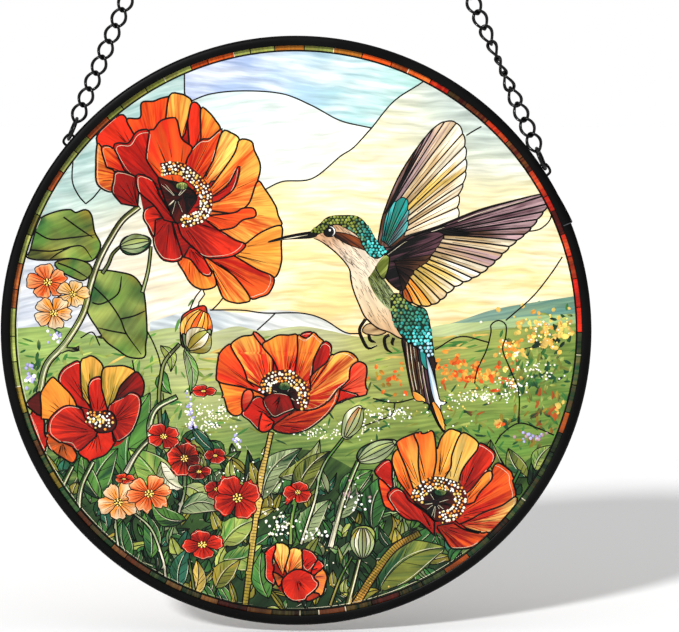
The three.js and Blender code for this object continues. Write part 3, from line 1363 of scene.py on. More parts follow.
BIG_POPPY = Poppy(
    centre=(-38, 46.5),
    panes=(
        Pane(Paint.SCARLET, Paint.SCARLET, (-15.5, 13.5), ((-29, 17), (-29, 20), (-25.5, 24), (-21, 27),
                                                           (-19,
             25.5), (-17.5, 21))),
        Pane(Paint.SCARLET, Paint.ORANGE, (-8.5, 9.5), ((-17, 21), (-19, 25.5), (-14.5, 26), (-14, 31), (-10,
             31.5), (-7.5, 32.5), (-3, 33.5))),
        Pane(Paint.ORANGE, Paint.GOLD, (-2.5, 12.5), ((-6, 25), (-4.5, 33.5), (-1, 34), (1.5, 33), (3, 31),
                                                      (2,
             24.5))),
        Pane(Paint.SCARLET, Paint.SCARLET, (2.5, 9.5), ((1.5, 25), (3, 31), (6, 29), (6, 19))),
        Pane(Paint.SCARLET, Paint.AMBER, (2.5, 9.5), ((6, 19), (6, 29), (8.5, 28), (11, 25), (12.5, 22), (9,
             19))),
        Pane(Paint.RED, Paint.ORANGE, (0, 1), ((0.5, 9.5), (2, 14), (6, 18.5), (9, 19), (12.5, 22), (13, 21),
             (10, 11.5), (8.5, 3))),
        Pane(Paint.ORANGE, Paint.YELLOW, (2.5, -2), ((10, 11.5), (13, 21), (16, 21), (19, 18.5), (17, 13.5),
             (13.5, 8))),
        Pane(Paint.ORANGE, Paint.GOLD, (3.5, -4.5), ((9.5, 3), (17, 13.5), (19, 18.5), (23, 18), (24, 15),
                                                     (26,
             10), (25, 4.5), (22, -3), (17, -6.5))),
        Pane(Paint.RED, Paint.RED, (3.5, -4.5), ((8.5, -1.5), (15, 3.5), (18.5, 9.5), (19, 8), (17, 2), (12,
             -2))),
        Pane(Paint.ORANGE, Paint.GOLD, (3.5, -4.5), ((17, -6.5), (22, -3), (25, 4.5), (27.5, 2), (31, -3.5),
             (32, -7), (33, -10.5), (26.5, -12.5), (21, -16.5), (12, -12))),
        Pane(Paint.SCARLET, Paint.ORANGE, (3.5, -6), ((8.5, -7), (17, -6), (20, -4.5), (23.5, -4.5),
                                                      (24.5, -6),
             (24, -7.5), (20, -8.5), (17, -11), (12, -12))),
        Pane(Paint.AMBER, Paint.GOLD, (12, -19), ((21, -16.5), (26.5, -12.5), (33, -10.5), (33, -16.5), (33,
             -23), (30.5, -28), (24.5, -25), (17, -20.5))),
        Pane(Paint.RED, Paint.ORANGE, (7, -20.5), ((17, -20.5), (24.5, -25), (30.5, -28), (29, -33), (26,
             -34.5), (22.5, -35), (19, -29.5), (14.5, -26), (10.5, -23))),
        Pane(Paint.ORANGE, Paint.GOLD, (7, -20.5), ((10.5, -23), (17, -27.5), (22.5, -35), (20, -36.5), (17,
             -36.5), (13.5, -35), (11.5, -30.5), (10, -26))),
        Pane(Paint.ORANGE, Paint.AMBER, (2.5, -18), ((10, -26), (11, -30.5), (7.5, -32), (4.5, -31.5), (2,
             -29.5), (0, -26), (-2, -22.5), (0, -21))),
        Pane(Paint.RED, Paint.SCARLET, (2, -17.5), ((0, -21), (2.5, -22), (5.5, -26), (8, -27.5),
                                                    (9.5, -26.5),
             (7.5, -22.5), (5.5, -19))),
        Pane(Paint.CRIMSON, Paint.RED, (-4.5, -7), ((-9.5, -8.5), (-10, -11.5), (-10, -17), (-7.5, -21.5),
                                                    (-5,
             -22.5), (-2.5, -22.5), (-0.5, -21), (-2, -15.5))),
        Pane(Paint.CRIMSON, Paint.SCARLET, (-2.5, -7), ((-2, -10), (-0.5, -14), (3.5, -18), (7, -21), (10.5,
             -21.5), (17, -20.5), (21, -17), (17, -15), (12, -12), (7.5, -8.5))),
        Pane(Paint.CRIMSON, Paint.SCARLET, (-4.5, -7), ((-9.5, -3.5), (-13, -5), (-13.5, -8), (-12, -10.5),
             (-10, -14), (-9.5, -8.5))),
        Pane(Paint.ORANGE, Paint.SCARLET, (-1.5, 0), ((-8.5, 6), (-11.5, 10.5), (-12, 15.5), (-12, 21.5),
                                                      (-10,
             22), (-7.5, 25), (-3.5, 26), (-2, 25), (-0.5, 19), (3, 16), (1.5, 12.5), (0.5, 9.5))),
        Pane(Paint.CRIMSON, Paint.RED, (-4.5, 0), ((-8.5, 5.5), (-11, 9.5), (-12.5, 12.5), (-12, 17.5),
                                                   (-11.5,
             21.5), (-13.5, 22), (-16, 21), (-18.5, 17.5), (-22, 17.5), (-23.5, 16), (-20, 9.5),
             (-16.5, 6))),
        Pane(Paint.RED, Paint.AMBER, (-16, 5.5), ((-23.5, 8), (-27.5, 16), (-29, 17), (-29.5, 10.5),
                                                  (-29, 3.5),
             (-24, 1), (-23.5, 5.5))),
        Pane(Paint.RED, Paint.ORANGE, (-16.5, 6), ((-26, 9.5), (-27.5, 16), (-23.5, 15.5), (-20, 8.5))),
        Pane(Paint.CRIMSON, Paint.CRIMSON, (-15.5, -4), ((-21, -3), (-24, 1), (-23.5, 5), (-22.5, 8),
                                                         (-16, 6),
             (-15, 1))),
        Pane(Paint.CRIMSON, Paint.RED, (-2.5, -9.5), ((-6.5, -8.5), (-10, -3.5), (-15, 1), (-16, 5.5),
                                                      (-15, 7),
             (-10.5, 5), (-8, 0), (-5, -5))),
    ),
    ground=((-14, -3), (-11, -14), (-4, -20), (3, -21), (9, -20), (18, -15), (20, 0), (15, 14), (6, 21),
            (0, 22), (-8, 20), (-15, 8)),
    pod=(-0.5, 3),
    core=((-8.5, 5.5), (-6, 5), (-1.5, 4), (2.5, 2), (4.5, -1), (2.5, -4.5), (-0.5, -8.5), (-2.5, -9.5),
         (-4.5, -6), (-6.5, -1)),
    beads=((-7.5, 8.5), (-4, 9), (-0.5, 8.5), (2.5, 6.5), (5.5, 3.5), (7.5, 0.5), (7.5, -4), (6, -7),
         (2.5, -8.5), (-1, -9)),
)
MID_POPPY = Poppy(
    centre=(-4.5, -19.5),
    panes=(
        Pane(Paint.ORANGE, Paint.AMBER, (-6, -2), ((-10.5, 0), (-21, 2.5), (-21.5, 2), (-20.5, -1), (-19.5,
             -4.5), (-18.5, -7.5), (-16, -9), (-13.5, -7.5), (-14, -3.5))),
        Pane(Paint.SCARLET, Paint.ORANGE, (-6, -2), ((-11, 0.5), (-21.5, 2.5), (-22.5, 5.5), (-22, 10), (-21,
             13), (-17.5, 15.5), (-15.5, 11), (-12.5, 6))),
        Pane(Paint.SCARLET, Paint.GOLD, (-4.5, -1), ((-12, 3), (-13.5, 7.5), (-16.5, 12.5), (-17.5, 15.5),
                                                     (-14,
             18), (-10.5, 18.5), (-9.5, 19.5), (-7, 15), (-3.5, 10.5), (-3.5, 5.5))),
        Pane(Paint.SALMON, Paint.SALMON, None, ((-10, 19), (-9, 19.5), (-6, 16.5), (-7, 15))),
        Pane(Paint.SCARLET, Paint.AMBER, (0.5, 0), ((-1.5, 6), (-3.5, 10.5), (-7, 15), (-4.5, 17),
                                                    (-1.5, 18.5),
             (2, 18.5), (5, 18.5), (5, 13), (4, 6))),
        Pane(Paint.RED, Paint.AMBER, (3, -2), ((4, 6), (5, 13), (5, 18.5), (6.5, 18), (8, 17.5),
                                               (10.5, 19.5),
             (12, 18), (14, 16), (12, 13), (10.5, 9.5), (9.5, 4.5), (9, -1.5))),
        Pane(Paint.CRIMSON, Paint.RED, None, ((6, 18.5), (7.5, 19.5), (10, 19.5), (8, 17.5))),
        Pane(Paint.CRIMSON, Paint.RED, (9, -1.5), ((10, 4.5), (10.5, 10), (13.5, 16), (15.5, 16),
                                                   (16.5, 14.5),
             (16, 11.5), (14.5, 9), (10.5, 5.5))),
        Pane(Paint.RED, Paint.GOLD, (6, -3.5), ((9.5, 0), (9.5, 4.5), (14.5, 9), (17.5, 12), (21, 13),
                                                (24, 12),
             (25.5, 9.5), (23, 7.5), (22.5, 3.5), (19, 0.5), (16, -3), (12, -6), (8, -7))),
        Pane(Paint.SCARLET, Paint.SALMON, (17.5, -1.5), ((22.5, 3.5), (23, 7.5), (25.5, 9.5), (28, 8.5),
                                                         (28.5,
             6), (28, 2.5), (28.5, -1), (27.5, -2), (23, -2.5), (20, -0.5))),
        Pane(Paint.RED, Paint.RED, (17, -5), ((19, 0), (23, -1), (25.5, -2), (21.5, -3.5), (18, -5))),
        Pane(Paint.CRIMSON, Paint.ORANGE, (-3, -12), ((4, -7), (9, -7), (12.5, -6), (16, -3.5), (19, 0.5),
                                                      (19,
             -2), (17.5, -5.5), (14, -9.5), (8.5, -13.5), (3, -15), (-1.5, -14.5), (-3.5, -13.5))),
        Pane(Paint.RED, Paint.RED, (-3.5, -9), ((-6.5, -3.5), (-7.5, -2.5), (-10, -3), (-14, -8), (-11.5,
             -10.5), (-8, -14), (-8, -10.5))),
        Pane(Paint.SCARLET, Paint.SCARLET, (-3, -11), ((-7, -7.5), (-8, -11), (-8, -14), (-6, -14.5), (-4,
             -13.5))),
        Pane(Paint.SALMON, Paint.RED, None, ((-14, -3.5), (-13, -0.5), (-11, 0), (-10, -2), (-11, -4.5),
                                             (-13.5,
             -7.5))),
        Pane(Paint.CRIMSON, Paint.MAROON, None, ((-6.5, -3), (-4.5, -1.5), (-0.5, -1.5), (2.5, -2.5),
                                                 (4, -4.5),
             (4, -6.5), (0.5, -8), (-3, -9.5), (-5, -7.5), (-6.5, -5))),
    ),
    pod=(0.5, 1),
    ground=((-14, 6), (-16, -4), (-8, -12), (0, -13), (10, -10), (16, -2), (18, 6), (10, 13), (0, 15),
            (-10, 13)),
    core=((-5.5, 0.5), (-3, 2), (1.5, 1.5), (5, 0), (6.5, -3.5), (6, -6.5), (4, -6.5), (2, -2), (-2.5,
         -1), (-6, -2)),
    beads=((-6, -1), (-5.5, 2), (-3.5, 4), (-0.5, 4.5), (2, 4.5), (4.5, 2.5), (6.5, 0.5), (7, -2), (6.5,
         -4.5), (5, -5.5)),
)
LEFT_POPPY = Poppy(
    centre=(-67, -29.5),
    panes=(
        Pane(Paint.MAROON, Paint.MAROON, None, ((-24.5, 5), (-22.5, 7.5), (-19.5, 9), (-19.5, 1),
                                                (-22, 2.5))),
        Pane(Paint.RED, Paint.RED, None, ((-23.5, 1.5), (-19.5, 1), (-18.5, -1), (-18.5, -4.5), (-18, -7),
             (-18.5, -11.5), (-20.5, -8), (-22, -3))),
        Pane(Paint.AMBER, Paint.AMBER, (-9, -1), ((-19.5, 0), (-19.5, 4.5), (-19.5, 9), (-16, 14), (-14, 13),
             (-10, 9), (-8, 6), (-7.5, 4))),
        Pane(Paint.RED, Paint.RED, (-2.5, 3), ((-7.5, 4.5), (-8.5, 7), (-10, 9), (-13.5, 13), (-12.5, 16.5),
             (-10, 18.5), (-6.5, 19.5), (-6, 12.5), (-5, 7.5))),
        Pane(Paint.OLIVE, Paint.GOLD, (-2, 3), ((-5.5, 7.5), (-6, 12), (-6, 19.5), (-4, 21), (-2.5, 21.5),
             (-0.5, 20.5), (1.5, 18), (1, 14), (-1.5, 14), (-3, 12.5))),
        Pane(Paint.RED, Paint.SCARLET, (-0.5, 0.5), ((-2.5, 3.5), (-3.5, 9), (-3, 12.5), (-1.5, 14), (1, 14),
             (2, 9), (3, 3))),
        Pane(Paint.OLIVE, Paint.GOLD, (3, 3), ((1, 10.5), (1, 15), (2, 17.5), (5.5, 18), (9, 18), (12.5, 16),
             (9.5, 12.5), (7.5, 12), (6, 9), (5.5, 6.5), (3.5, 4.5))),
        Pane(Paint.MAROON, Paint.CRIMSON, (5.5, 6.5), ((7, 10.5), (8.5, 12.5), (12.5, 16), (14.5, 14.5),
                                                       (15.5,
             11.5), (14.5, 7.5), (11.5, 9), (8.5, 7))),
        Pane(Paint.CRIMSON, Paint.SCARLET, (4.5, -1), ((3.5, 3), (4, 5), (8.5, 7.5), (11, 9), (14, 7.5), (14,
             2.5), (11.5, -4), (8, -7), (6, -7.5), (4.5, -4.5))),
        Pane(Paint.SCARLET, Paint.RED, (-0.5, -4.5), ((4.5, -4), (5, -7.5), (5.5, -8), (2.5, -12),
                                                      (-1, -13.5),
             (-3, -14), (-5.5, -13), (-7, -11), (-3.5, -8))),
        Pane(Paint.RUST, Paint.ORANGE, (-12.5, -8), ((-17.5, -5), (-17, -8.5), (-15, -11.5), (-12, -13.5),
                                                     (-9,
             -15), (-7.5, -12.5), (-9, -9.5))),
        Pane(Paint.CRIMSON, Paint.SCARLET, (-0.5, -4.5), ((-1, -6), (-7, -11), (-9.5, -8.5), (-13, -8),
                                                          (-13.5,
             -8), (-17, -5), (-17, -1), (-15, 2), (-11, 4.5), (-6, 3.5), (-4.5, 0), (-1, -4))),
    ),
    ground=((-10, 8), (-12, -2), (-8, -8), (0, -10), (8, -8), (12, 2), (10, 10), (0, 14), (-8, 12)),
    core=((-4.5, 2), (-1, 2.5), (4, 2.5), (6, -1), (4.5, -4), (-0.5, -4.5), (-2.5, -1.5)),
    beads=((-4, 1), (-1.5, 0.5), (1, 0.5), (3, 0), (2.5, -1.5), (0.5, -1), (-2, -1)),
)
RIGHT_POPPY = Poppy(
    centre=(48.5, -57.5),
    panes=(
        Pane(Paint.RED, Paint.RED, None, ((-21.5, 9), (-21.5, 11), (-19, 13.5), (-17, 14), (-16, 12), (-16,
             8.5), (-16, 4.5))),
        Pane(Paint.SCARLET, Paint.ORANGE, None, ((-20.5, 7.5), (-16.5, 4), (-17.5, 1.5), (-15, -3), (-17.5,
             -2.5), (-19, -0.5))),
        Pane(Paint.ORANGE, Paint.AMBER, (-8.5, 0), ((-14, 7), (-16, 14), (-14, 17.5), (-11.5, 12),
                                                    (-8.5, 4))),
        Pane(Paint.GOLD, Paint.ORANGE, (-6, 3.5), ((-8.5, 3.5), (-11.5, 12), (-14, 18), (-14, 20.5),
                                                   (-8.5, 23),
             (-8.5, 22), (-7, 18), (-7, 12), (-6, 5.5))),
        Pane(Paint.AMBER, Paint.ORANGE, (-4, 5), ((-6, 5.5), (-7, 12), (-7, 18.5), (-8.5, 23), (-5, 23),
                                                  (-2.5,
             24), (-1.5, 22), (-1, 17.5), (-1, 13), (-2, 8))),
        Pane(Paint.AMBER, Paint.GOLD, (-0.5, 6.5), ((-2, 8), (-1, 13), (-0.5, 18), (1, 22), (3.5, 24.5), (6,
             24), (7.5, 23), (6, 20), (4.5, 16), (4, 11.5), (2, 8))),
        Pane(Paint.STRAW, Paint.GOLD, (4, 5), ((2, 8), (4, 11.5), (4.5, 16), (7.5, 23), (11, 22),
                                               (13.5, 19.5),
             (13, 17), (9.5, 13), (7.5, 9.5), (6.5, 5))),
        Pane(Paint.CRIMSON, Paint.SCARLET, (7.5, 3), ((7, 5.5), (7.5, 9.5), (9.5, 13), (13, 17.5),
                                                      (13.5, 19.5),
             (15, 19.5), (18.5, 17), (19, 15), (17.5, 12), (14.5, 8.5), (11.5, 4.5), (8.5, 2))),
        Pane(Paint.ORANGE, Paint.AMBER, (7.5, -2), ((11.5, 4.5), (15.5, 9.5), (18, 10), (18, 7.5), (14, 3.5),
             (12, -0.5))),
        Pane(Paint.RED, Paint.ORANGE, (4.5, -6), ((12, -0.5), (14, 3), (18, 7.5), (18, 10.5), (20, 13),
                                                  (24.5,
             10), (25, 7), (26, 1.5), (21.5, -1.5), (15, -4), (11.5, -6), (7, -8))),
        Pane(Paint.RED, Paint.STRAW, (7.5, -8), ((11.5, -6), (15, -4), (21.5, -1.5), (26, 1.5), (26.5, -0.5),
             (24.5, -5), (21, -9), (18, -10.5), (13.5, -10.5), (9.5, -9.5))),
        Pane(Paint.CRIMSON, Paint.ORANGE, (-0.5, -8.5), ((5, -7.5), (8, -9.5), (13, -11), (18, -11),
                                                         (15, -14),
             (11, -16), (7, -16.5), (4, -16), (2, -13), (-0.5, -9.5))),
        Pane(Paint.CRIMSON, Paint.SCARLET, (-1.5, -12), ((-1.5, -7), (-4.5, -4), (-8, -1.5), (-10.5, 0.5),
                                                         (-12,
             3), (-14.5, 4.5), (-16.5, 3.5), (-17.5, 1.5), (-15, -2.5), (-13, -5), (-10.5, -6.5),
             (-7, -7), (-4, -9.5))),
    ),
    pod=(0.5, 3),
    ground=((-10, 8), (-12, 0), (-8, -6), (2, -12), (12, -12), (18, -4), (18, 8), (10, 16), (0, 18),
            (-8, 14)),
    core=((-8.5, 0), (-6, 2), (-3, 4), (2.5, 4), (5, 0.5), (5, -2), (2.5, -5), (-1, -7), (-4.5, -3.5)),
    beads=((-7.5, 0), (-7, 2.5), (-5, 4), (-2.5, 6), (0.5, 6), (4, 5), (6.5, 3.5), (7.5, 0.5), (7,
         -1.5), (5.5, -4), (3, -5), (0, -6)),
)
BOTTOM_POPPY = Poppy(
    centre=(-0.5, -83),
    panes=(
        Pane(Paint.RED, Paint.SCARLET, None, ((-10, 8), (-7, 10.5), (-6.5, 9.5), (-7.5, 6), (-7.5, 3), (-7.5,
             -1), (-7.5, -3), (-10, -1), (-10, 3.5))),
        Pane(Paint.ORANGE, Paint.YELLOW, (-4, 0), ((-7, 5.5), (-6.5, 8), (-6.5, 11), (-5.5, 11), (-4, 11),
                                                   (-2,
             9.5), (-2, 6.5), (-3.5, 2))),
        Pane(Paint.ORANGE, Paint.YELLOW, (-2.5, 0), ((-3.5, 2), (-2, 7), (-1.5, 9), (0, 9.5), (2, 8.5), (2.5,
             6), (2.5, 2), (0.5, 2))),
        Pane(Paint.RED, Paint.RED, None, ((2.5, 8.5), (3.5, 9), (6, 8), (7.5, 6), (7.5, 5), (5, 2), (4, 2),
                                          (3,
             3.5))),
        Pane(Paint.RED, Paint.SCARLET, None, ((7.5, 5), (8.5, 5), (10, 3.5), (9, 2), (6.5, 0), (5.5, 1))),
        Pane(Paint.SALMON, Paint.AMBER, None, ((6.5, -0.5), (9.5, 2), (11, -0.5), (10.5, -3), (9.5, -6.5),
                                               (8.5,
             -7), (7, -5.5), (8.5, -3))),
        Pane(Paint.RUST, Paint.RED, None, ((4, -7.5), (7, -6), (8.5, -7), (6, -8.5), (4, -9))),
        Pane(Paint.RUST, Paint.ORANGE, None, ((-7.5, 1), (-4, -1), (-5, -3.5), (-6, -3.5))),
        Pane(Paint.RED, Paint.SCARLET, None, ((-4.5, -3.5), (-4, -1), (-1, 1.5), (2, 2), (5.5, 0.5), (6.5,
             -1.5), (8, -3), (7, -5), (4, -7.5), (3.5, -8.5), (0.5, -9), (-1.5, -8.5), (-3.5,
             -6.5))),
    ),
    ground=((-7, 4), (-6, -4), (0, -8), (7, -5), (8, 2), (3, 7), (-4, 8)),
)


# ---------------------------------------------------------------- the hummingbird


@dataclass(frozen=True)
class FeatherFan:
    """Feathers side by side, from a line of roots to a line of tips."""

    roots: Points
    tips: Points
    count: int
    paints: Sequence[tuple[Paint, Paint]]
    line: float = 0.5
    bulge: float = 0.16
    barbs: bool = False

    def draw(self, picture: Picture) -> None:
        """Lays the feathers one by one, each over the one before."""
        roots = along(smooth_path(self.roots), np.linspace(0, 1, self.count + 1))
        tips = along(smooth_path(self.tips), np.linspace(0, 1, self.count + 1))
        for k in range(self.count):
            inner, outer = self.paints[min(len(self.paints) - 1, int(k / self.count * len(self.paints)))]
            width = np.linalg.norm(tips[k + 1] - tips[k])
            arm = (tips[k] + tips[k + 1] - roots[k] - roots[k + 1]) / 2
            ahead = arm / (np.linalg.norm(arm) + 1e-9)
            t = np.linspace(0, 1, 7)[:, None]
            swell = 4 * self.bulge * width * t * (1 - t)
            round_tip = tips[k] + (tips[k + 1] - tips[k]) * t + ahead * swell
            side = (roots[k + 1] - roots[k]) * 0.12 * np.sin(math.pi * t)
            low = roots[k] + (tips[k] - roots[k]) * t - side
            high = roots[k + 1] + (tips[k + 1] - roots[k + 1]) * t + side
            outline = np.vstack([low[:-1], round_tip, high[::-1][1:]])
            angle = math.atan2(ahead[1], ahead[0])
            picture.cell(outline, inner=inner, outer=outer, angle=angle, line=self.line, folds=0.25,
                         shade=1.0 + 0.1 * (k % 2))
            quill = (low + high) / 2
            picture.ink(quill[1:-1], 0.17, 1.0, 0.4)
            if self.barbs:
                for share in (0.28, 0.72):
                    barb = low + (high - low) * share
                    picture.ink(barb[2:6], 0.16, 0.5, 0.3)


@dataclass(frozen=True)
class ScaleCoat:
    """Rows of small round scales over a dark ground, their colour running from one place to another."""

    outline: Points
    start: Point
    end: Point
    paints: Sequence[Paint]
    spacing: float = 1.35
    radius: float = 0.62
    ground: Paint = Paint.DEEP

    def draw(self, picture: Picture) -> None:
        """Lays the ground and sets the scales."""
        rng = np.random.default_rng(SEED + len(picture.cells))
        ground = picture.blob(self.outline, inner=self.ground, outer=self.ground, line=0.4)
        low, high = ground.outline.min(0), ground.outline.max(0)
        rows = int((high[1] - low[1]) / (self.spacing * 0.87)) + 1
        places = [(low[0] + (k + 0.5 * (row % 2)) * self.spacing, low[1] + row * self.spacing * 0.87)
                  for row in range(rows) for k in range(int((high[0] - low[0]) / self.spacing) + 1)]
        places = np.array(places) + rng.normal(0, 0.17, (len(places), 2))
        places = places[inside(places, ground.outline)]
        arm = np.array(self.end) - self.start
        shares = (places - self.start) @ arm / (arm @ arm) + rng.normal(0, 0.09, len(places))
        shares = np.clip(shares, 0, 0.999)
        ramp = np.array([paint.rgb for paint in self.paints])
        for place, share in zip(places, shares):
            spot = share * (len(ramp) - 1)
            low_paint = int(spot)
            colour = ramp[low_paint] + (ramp[low_paint + 1] - ramp[low_paint]) * (spot - low_paint)
            picture.dot(place, self.radius * rng.uniform(0.8, 1.05), colour * rng.uniform(0.7, 1.6))


@dataclass(frozen=True)
class Hummingbird:
    """A hovering hummingbird in profile, its two wings raised behind it."""

    upper_outline: Points = ((28, 29.5), (28.5, 35.5), (29.5, 40), (32.5, 48), (36, 55), (41, 62.5), (46.5,
        69), (52.5, 71.5), (55, 70.5), (56, 67.5), (56.5, 61), (57.5, 57.5), (57, 52.5), (55, 47.5), (55,
        43), (54.5, 38), (45, 35.5), (38, 32.5), (32.5, 29))
    upper_roots: Points = ((30, 40), (33.5, 44.5), (37.5, 42.5), (37.5, 36.5), (36.5, 32.5))
    upper_tips: Points = ((41, 62.5), (46.5, 69), (52.5, 71.5), (56, 67.5), (57, 61), (57, 52.5), (55,
        47.5), (54.5, 43), (54.5, 38))
    teal_coverts: Points = ((30, 38), (32.5, 43), (36, 45.5), (37.5, 44), (37.5, 38), (37, 34), (36, 31.5),
        (32.5, 29.5), (30, 31.5))
    lower_top: Points = ((27.5, 24.5), (32.5, 28.5), (38.5, 32.5), (48.5, 36), (61, 41), (71.5, 44), (81.5,
        46.5), (84.5, 46.5))
    lower_tips: Points = ((84.5, 46.5), (85.5, 44), (82, 39), (78, 34), (72.5, 29.5), (67, 24), (61.5,
        19.5), (53.5, 15.5), (48, 10.5), (42.5, 9), (36.5, 11.5))
    lower_roots: Points = ((39.5, 32.5), (50, 33), (48, 29.5), (45, 25.5), (39.5, 20.5), (36, 14))
    dark_coverts: Points = ((27.5, 22.5), (32.5, 28.5), (38.5, 31.5), (46.5, 34), (50, 33), (48, 29.5), (46,
        26.5), (44.5, 24), (39.5, 20.5), (38, 17.5), (36, 14), (32.5, 16), (29.5, 19.5))
    shoulder: Points = ((27, 22.5), (29.5, 26), (31.5, 25.5), (31, 21), (29.5, 18), (27.5, 20.5))
    crown: Points = ((5, 34), (8, 36.5), (11, 39), (16, 39.5), (21, 39), (24.5, 35.5), (27.5, 30.5), (30.5,
        27.5), (27.5, 25), (24.5, 26.5), (22.5, 29.5), (21, 32.5), (16.5, 35.5), (13, 36.5), (9, 34), (6.5,
        33))
    head_fill: Points = ((5, 34), (8, 36.5), (11, 39), (16, 39.5), (21, 39), (24.5, 35.5), (27.5, 30.5),
        (30.5, 27.5), (28, 24), (23.5, 18), (18, 21.5), (15, 25.5), (11, 29), (7, 31.5))
    body: Points = ((7, 31.5), (11, 32.5), (18, 30.5), (22.5, 28), (27.5, 25.5), (28, 19.5), (32.5, 12.5),
        (36, 4), (36, -2), (31.5, 0), (27.5, 1.5), (23.5, 5), (21.5, 9), (19.5, 14), (18.5, 18), (18, 21.5),
        (15, 25.5), (11, 29))
    flank: Points = ((24.5, 23), (28, 24.5), (30, 18), (33.5, 12.5), (32.5, 7.5), (28, 11), (24.5, 17.5))
    rump: Points = ((32.5, 12.5), (36, 12.5), (39.5, 9), (43.5, 8), (45, 4), (46, -2), (46.5, -8.5), (43.5,
        -7), (39.5, -4), (35.5, -1), (32.5, 5.5))
    cheek: Points = ((12, 33.8), (16, 33.6), (20, 32.4), (23.5, 30), (26.5, 26.5), (24, 27.5), (21, 28.6),
        (18, 29.6), (14.5, 31.5))
    beak: Points = ((-9.5, 30.5), (-3.5, 32.5), (5, 34), (7, 33), (5, 32), (-3.5, 31.5))
    tail: Points = ((36, -2), (41, -3.5), (46.5, -8), (47, -14), (48.5, -23), (50.5, -33.5), (48.5, -32),
        (46, -27), (44, -23), (42, -23.5), (40, -22.5), (38.5, -17), (37, -9))
    tail_tip: Points = ((46, -24), (47.5, -24.5), (49.5, -28), (50.5, -33.5), (48.5, -31))
    tail_tip2: Points = ((39.5, -20), (42, -21), (44, -23), (42, -23.5), (40, -22.5))
    blue: Points = ((44, -7.5), (46.5, -14), (48.5, -22.5), (49, -27.5), (46.5, -22.5), (45, -15.5))
    teal_tail: Points = ((42, -5.5), (44, -7), (45, -13), (42.5, -10.5))
    thigh: Points = ((22.5, 1), (25, 3), (30.5, 0.5), (28, -1), (23.5, -0.5))
    eye: Point = (11, 34)
    claws: Sequence[Points] = (((23.5, 4.5), (21.5, 1), (22.5, -2.5), (24.5, -5.5), (27.5, -4.5)), ((24.5,
        1), (25, -2.5), (27, -3.5)), ((32.5, -0.5), (30, -2), (30.5, -5.5), (32.5, -7)), ((33.5, -1), (32.5,
        -3.5), (33, -4.5)))
    hatch: int = 430
    down: Sequence[Wash] = (
        Wash((10, 29), 5, "c08a5e"), Wash((21, 24), 5, "f2e4ce"), Wash((24, 10), 7, "e6d2b0"),
        Wash((28, 0), 5, "cb9c6c"),
    )

    def draw(self, picture: Picture) -> None:
        """Lays the bird from its tail and far wing to its eye."""
        self._draw_tail(picture)
        self._draw_upper_wing(picture)
        self._draw_body(picture)
        self._draw_lower_wing(picture)
        self._draw_head(picture)

    def _draw_tail(self, picture: Picture) -> None:
        """Lays the tail's feathers and their coloured tips."""
        picture.blob(self.tail, inner=Paint.UMBER, outer=Paint.INK, angle=-1.2, line=0.55)
        roots = [(36.5, -2.5), (44, -7.5)]
        tips = [(39.5, -21.5), (47, -25.5)]
        fan = FeatherFan(roots, tips, 5, ((Paint.BROWN, Paint.UMBER), (Paint.PLUM, Paint.INK)), bulge=0.1)
        fan.draw(picture)
        for share in (0.12, 0.28, 0.44, 0.6, 0.76):
            top, low = ((np.array(line[0]) * (1 - share) + np.array(line[1]) * share) for line in (roots,
                tips))
            picture.line([top, (top + low) / 2 + (-0.4, 0.0), low], 0.28, pale=True)
        picture.blob(self.teal_tail, inner=Paint.TEAL, outer=Paint.SEA, angle=-1.2, line=0.4)
        picture.blob(self.blue, inner=Paint.SKY, outer=Paint.WHITE, angle=-1.3, line=0.4)
        picture.blob(self.tail_tip, inner=Paint.AMBER, outer=Paint.YELLOW, angle=-1.2, line=0.4)
        picture.blob(self.tail_tip2, inner=Paint.AMBER, outer=Paint.YELLOW, angle=-0.5, line=0.4)

    def _draw_upper_wing(self, picture: Picture) -> None:
        """Lays the far wing: its long feathers and its teal coverts."""
        picture.blob(self.upper_outline, inner=Paint.BROWN, outer=Paint.MAUVE, angle=1.2, line=0.55)
        far = ((Paint.BROWN, Paint.MAUVE), (Paint.MAUVE, Paint.FAWN), (Paint.TAN, Paint.CREAM),
               (Paint.STRAW, Paint.WHITE), (Paint.TAN, Paint.CREAM), (Paint.FAWN, Paint.CREAM))
        FeatherFan(self.upper_roots, self.upper_tips, 12, far).draw(picture)
        near = ((Paint.TEAL, Paint.AQUA), (Paint.SEA, Paint.TEAL), (Paint.PLUM, Paint.AQUA))
        FeatherFan([(29, 31), (30.5, 30), (31.5, 29)], self.teal_coverts[:6], 6, near, 0.36,
                   0.3).draw(picture)

    def _draw_body(self, picture: Picture) -> None:
        """Lays the thigh, breast, flank and scaled rump, with the hatching of the down."""
        for claw in self.claws:
            picture.line(claw, 1.15, thin_start=1.0, thin_end=0.3)
            picture.line(np.array(claw) + (-0.35, 0.25), 0.2, pale=True)
        picture.blob(self.thigh, inner=Paint.TAN, outer=Paint.BROWN, angle=0.3, line=0.45)
        breast = picture.blob(self.body, washes=self.down, angle=-1.1, line=0.55, lift=Paint.TAN,
                              lift_share=0.3, seed=3)
        self._draw_down(picture, breast, -1.05, Paint.BROWN)
        flank = picture.blob(self.flank, inner=Paint.BRONZE, outer=Paint.SAGE, angle=-1.0, line=0.0)
        self._draw_down(picture, flank, -1.0, Paint.BRONZE)
        ScaleCoat(self.rump, (33, 10), (46, -6),
                  (Paint.MOSS, Paint.SEA, Paint.SEA, Paint.TEAL, Paint.AQUA, Paint.SKY)).draw(picture)

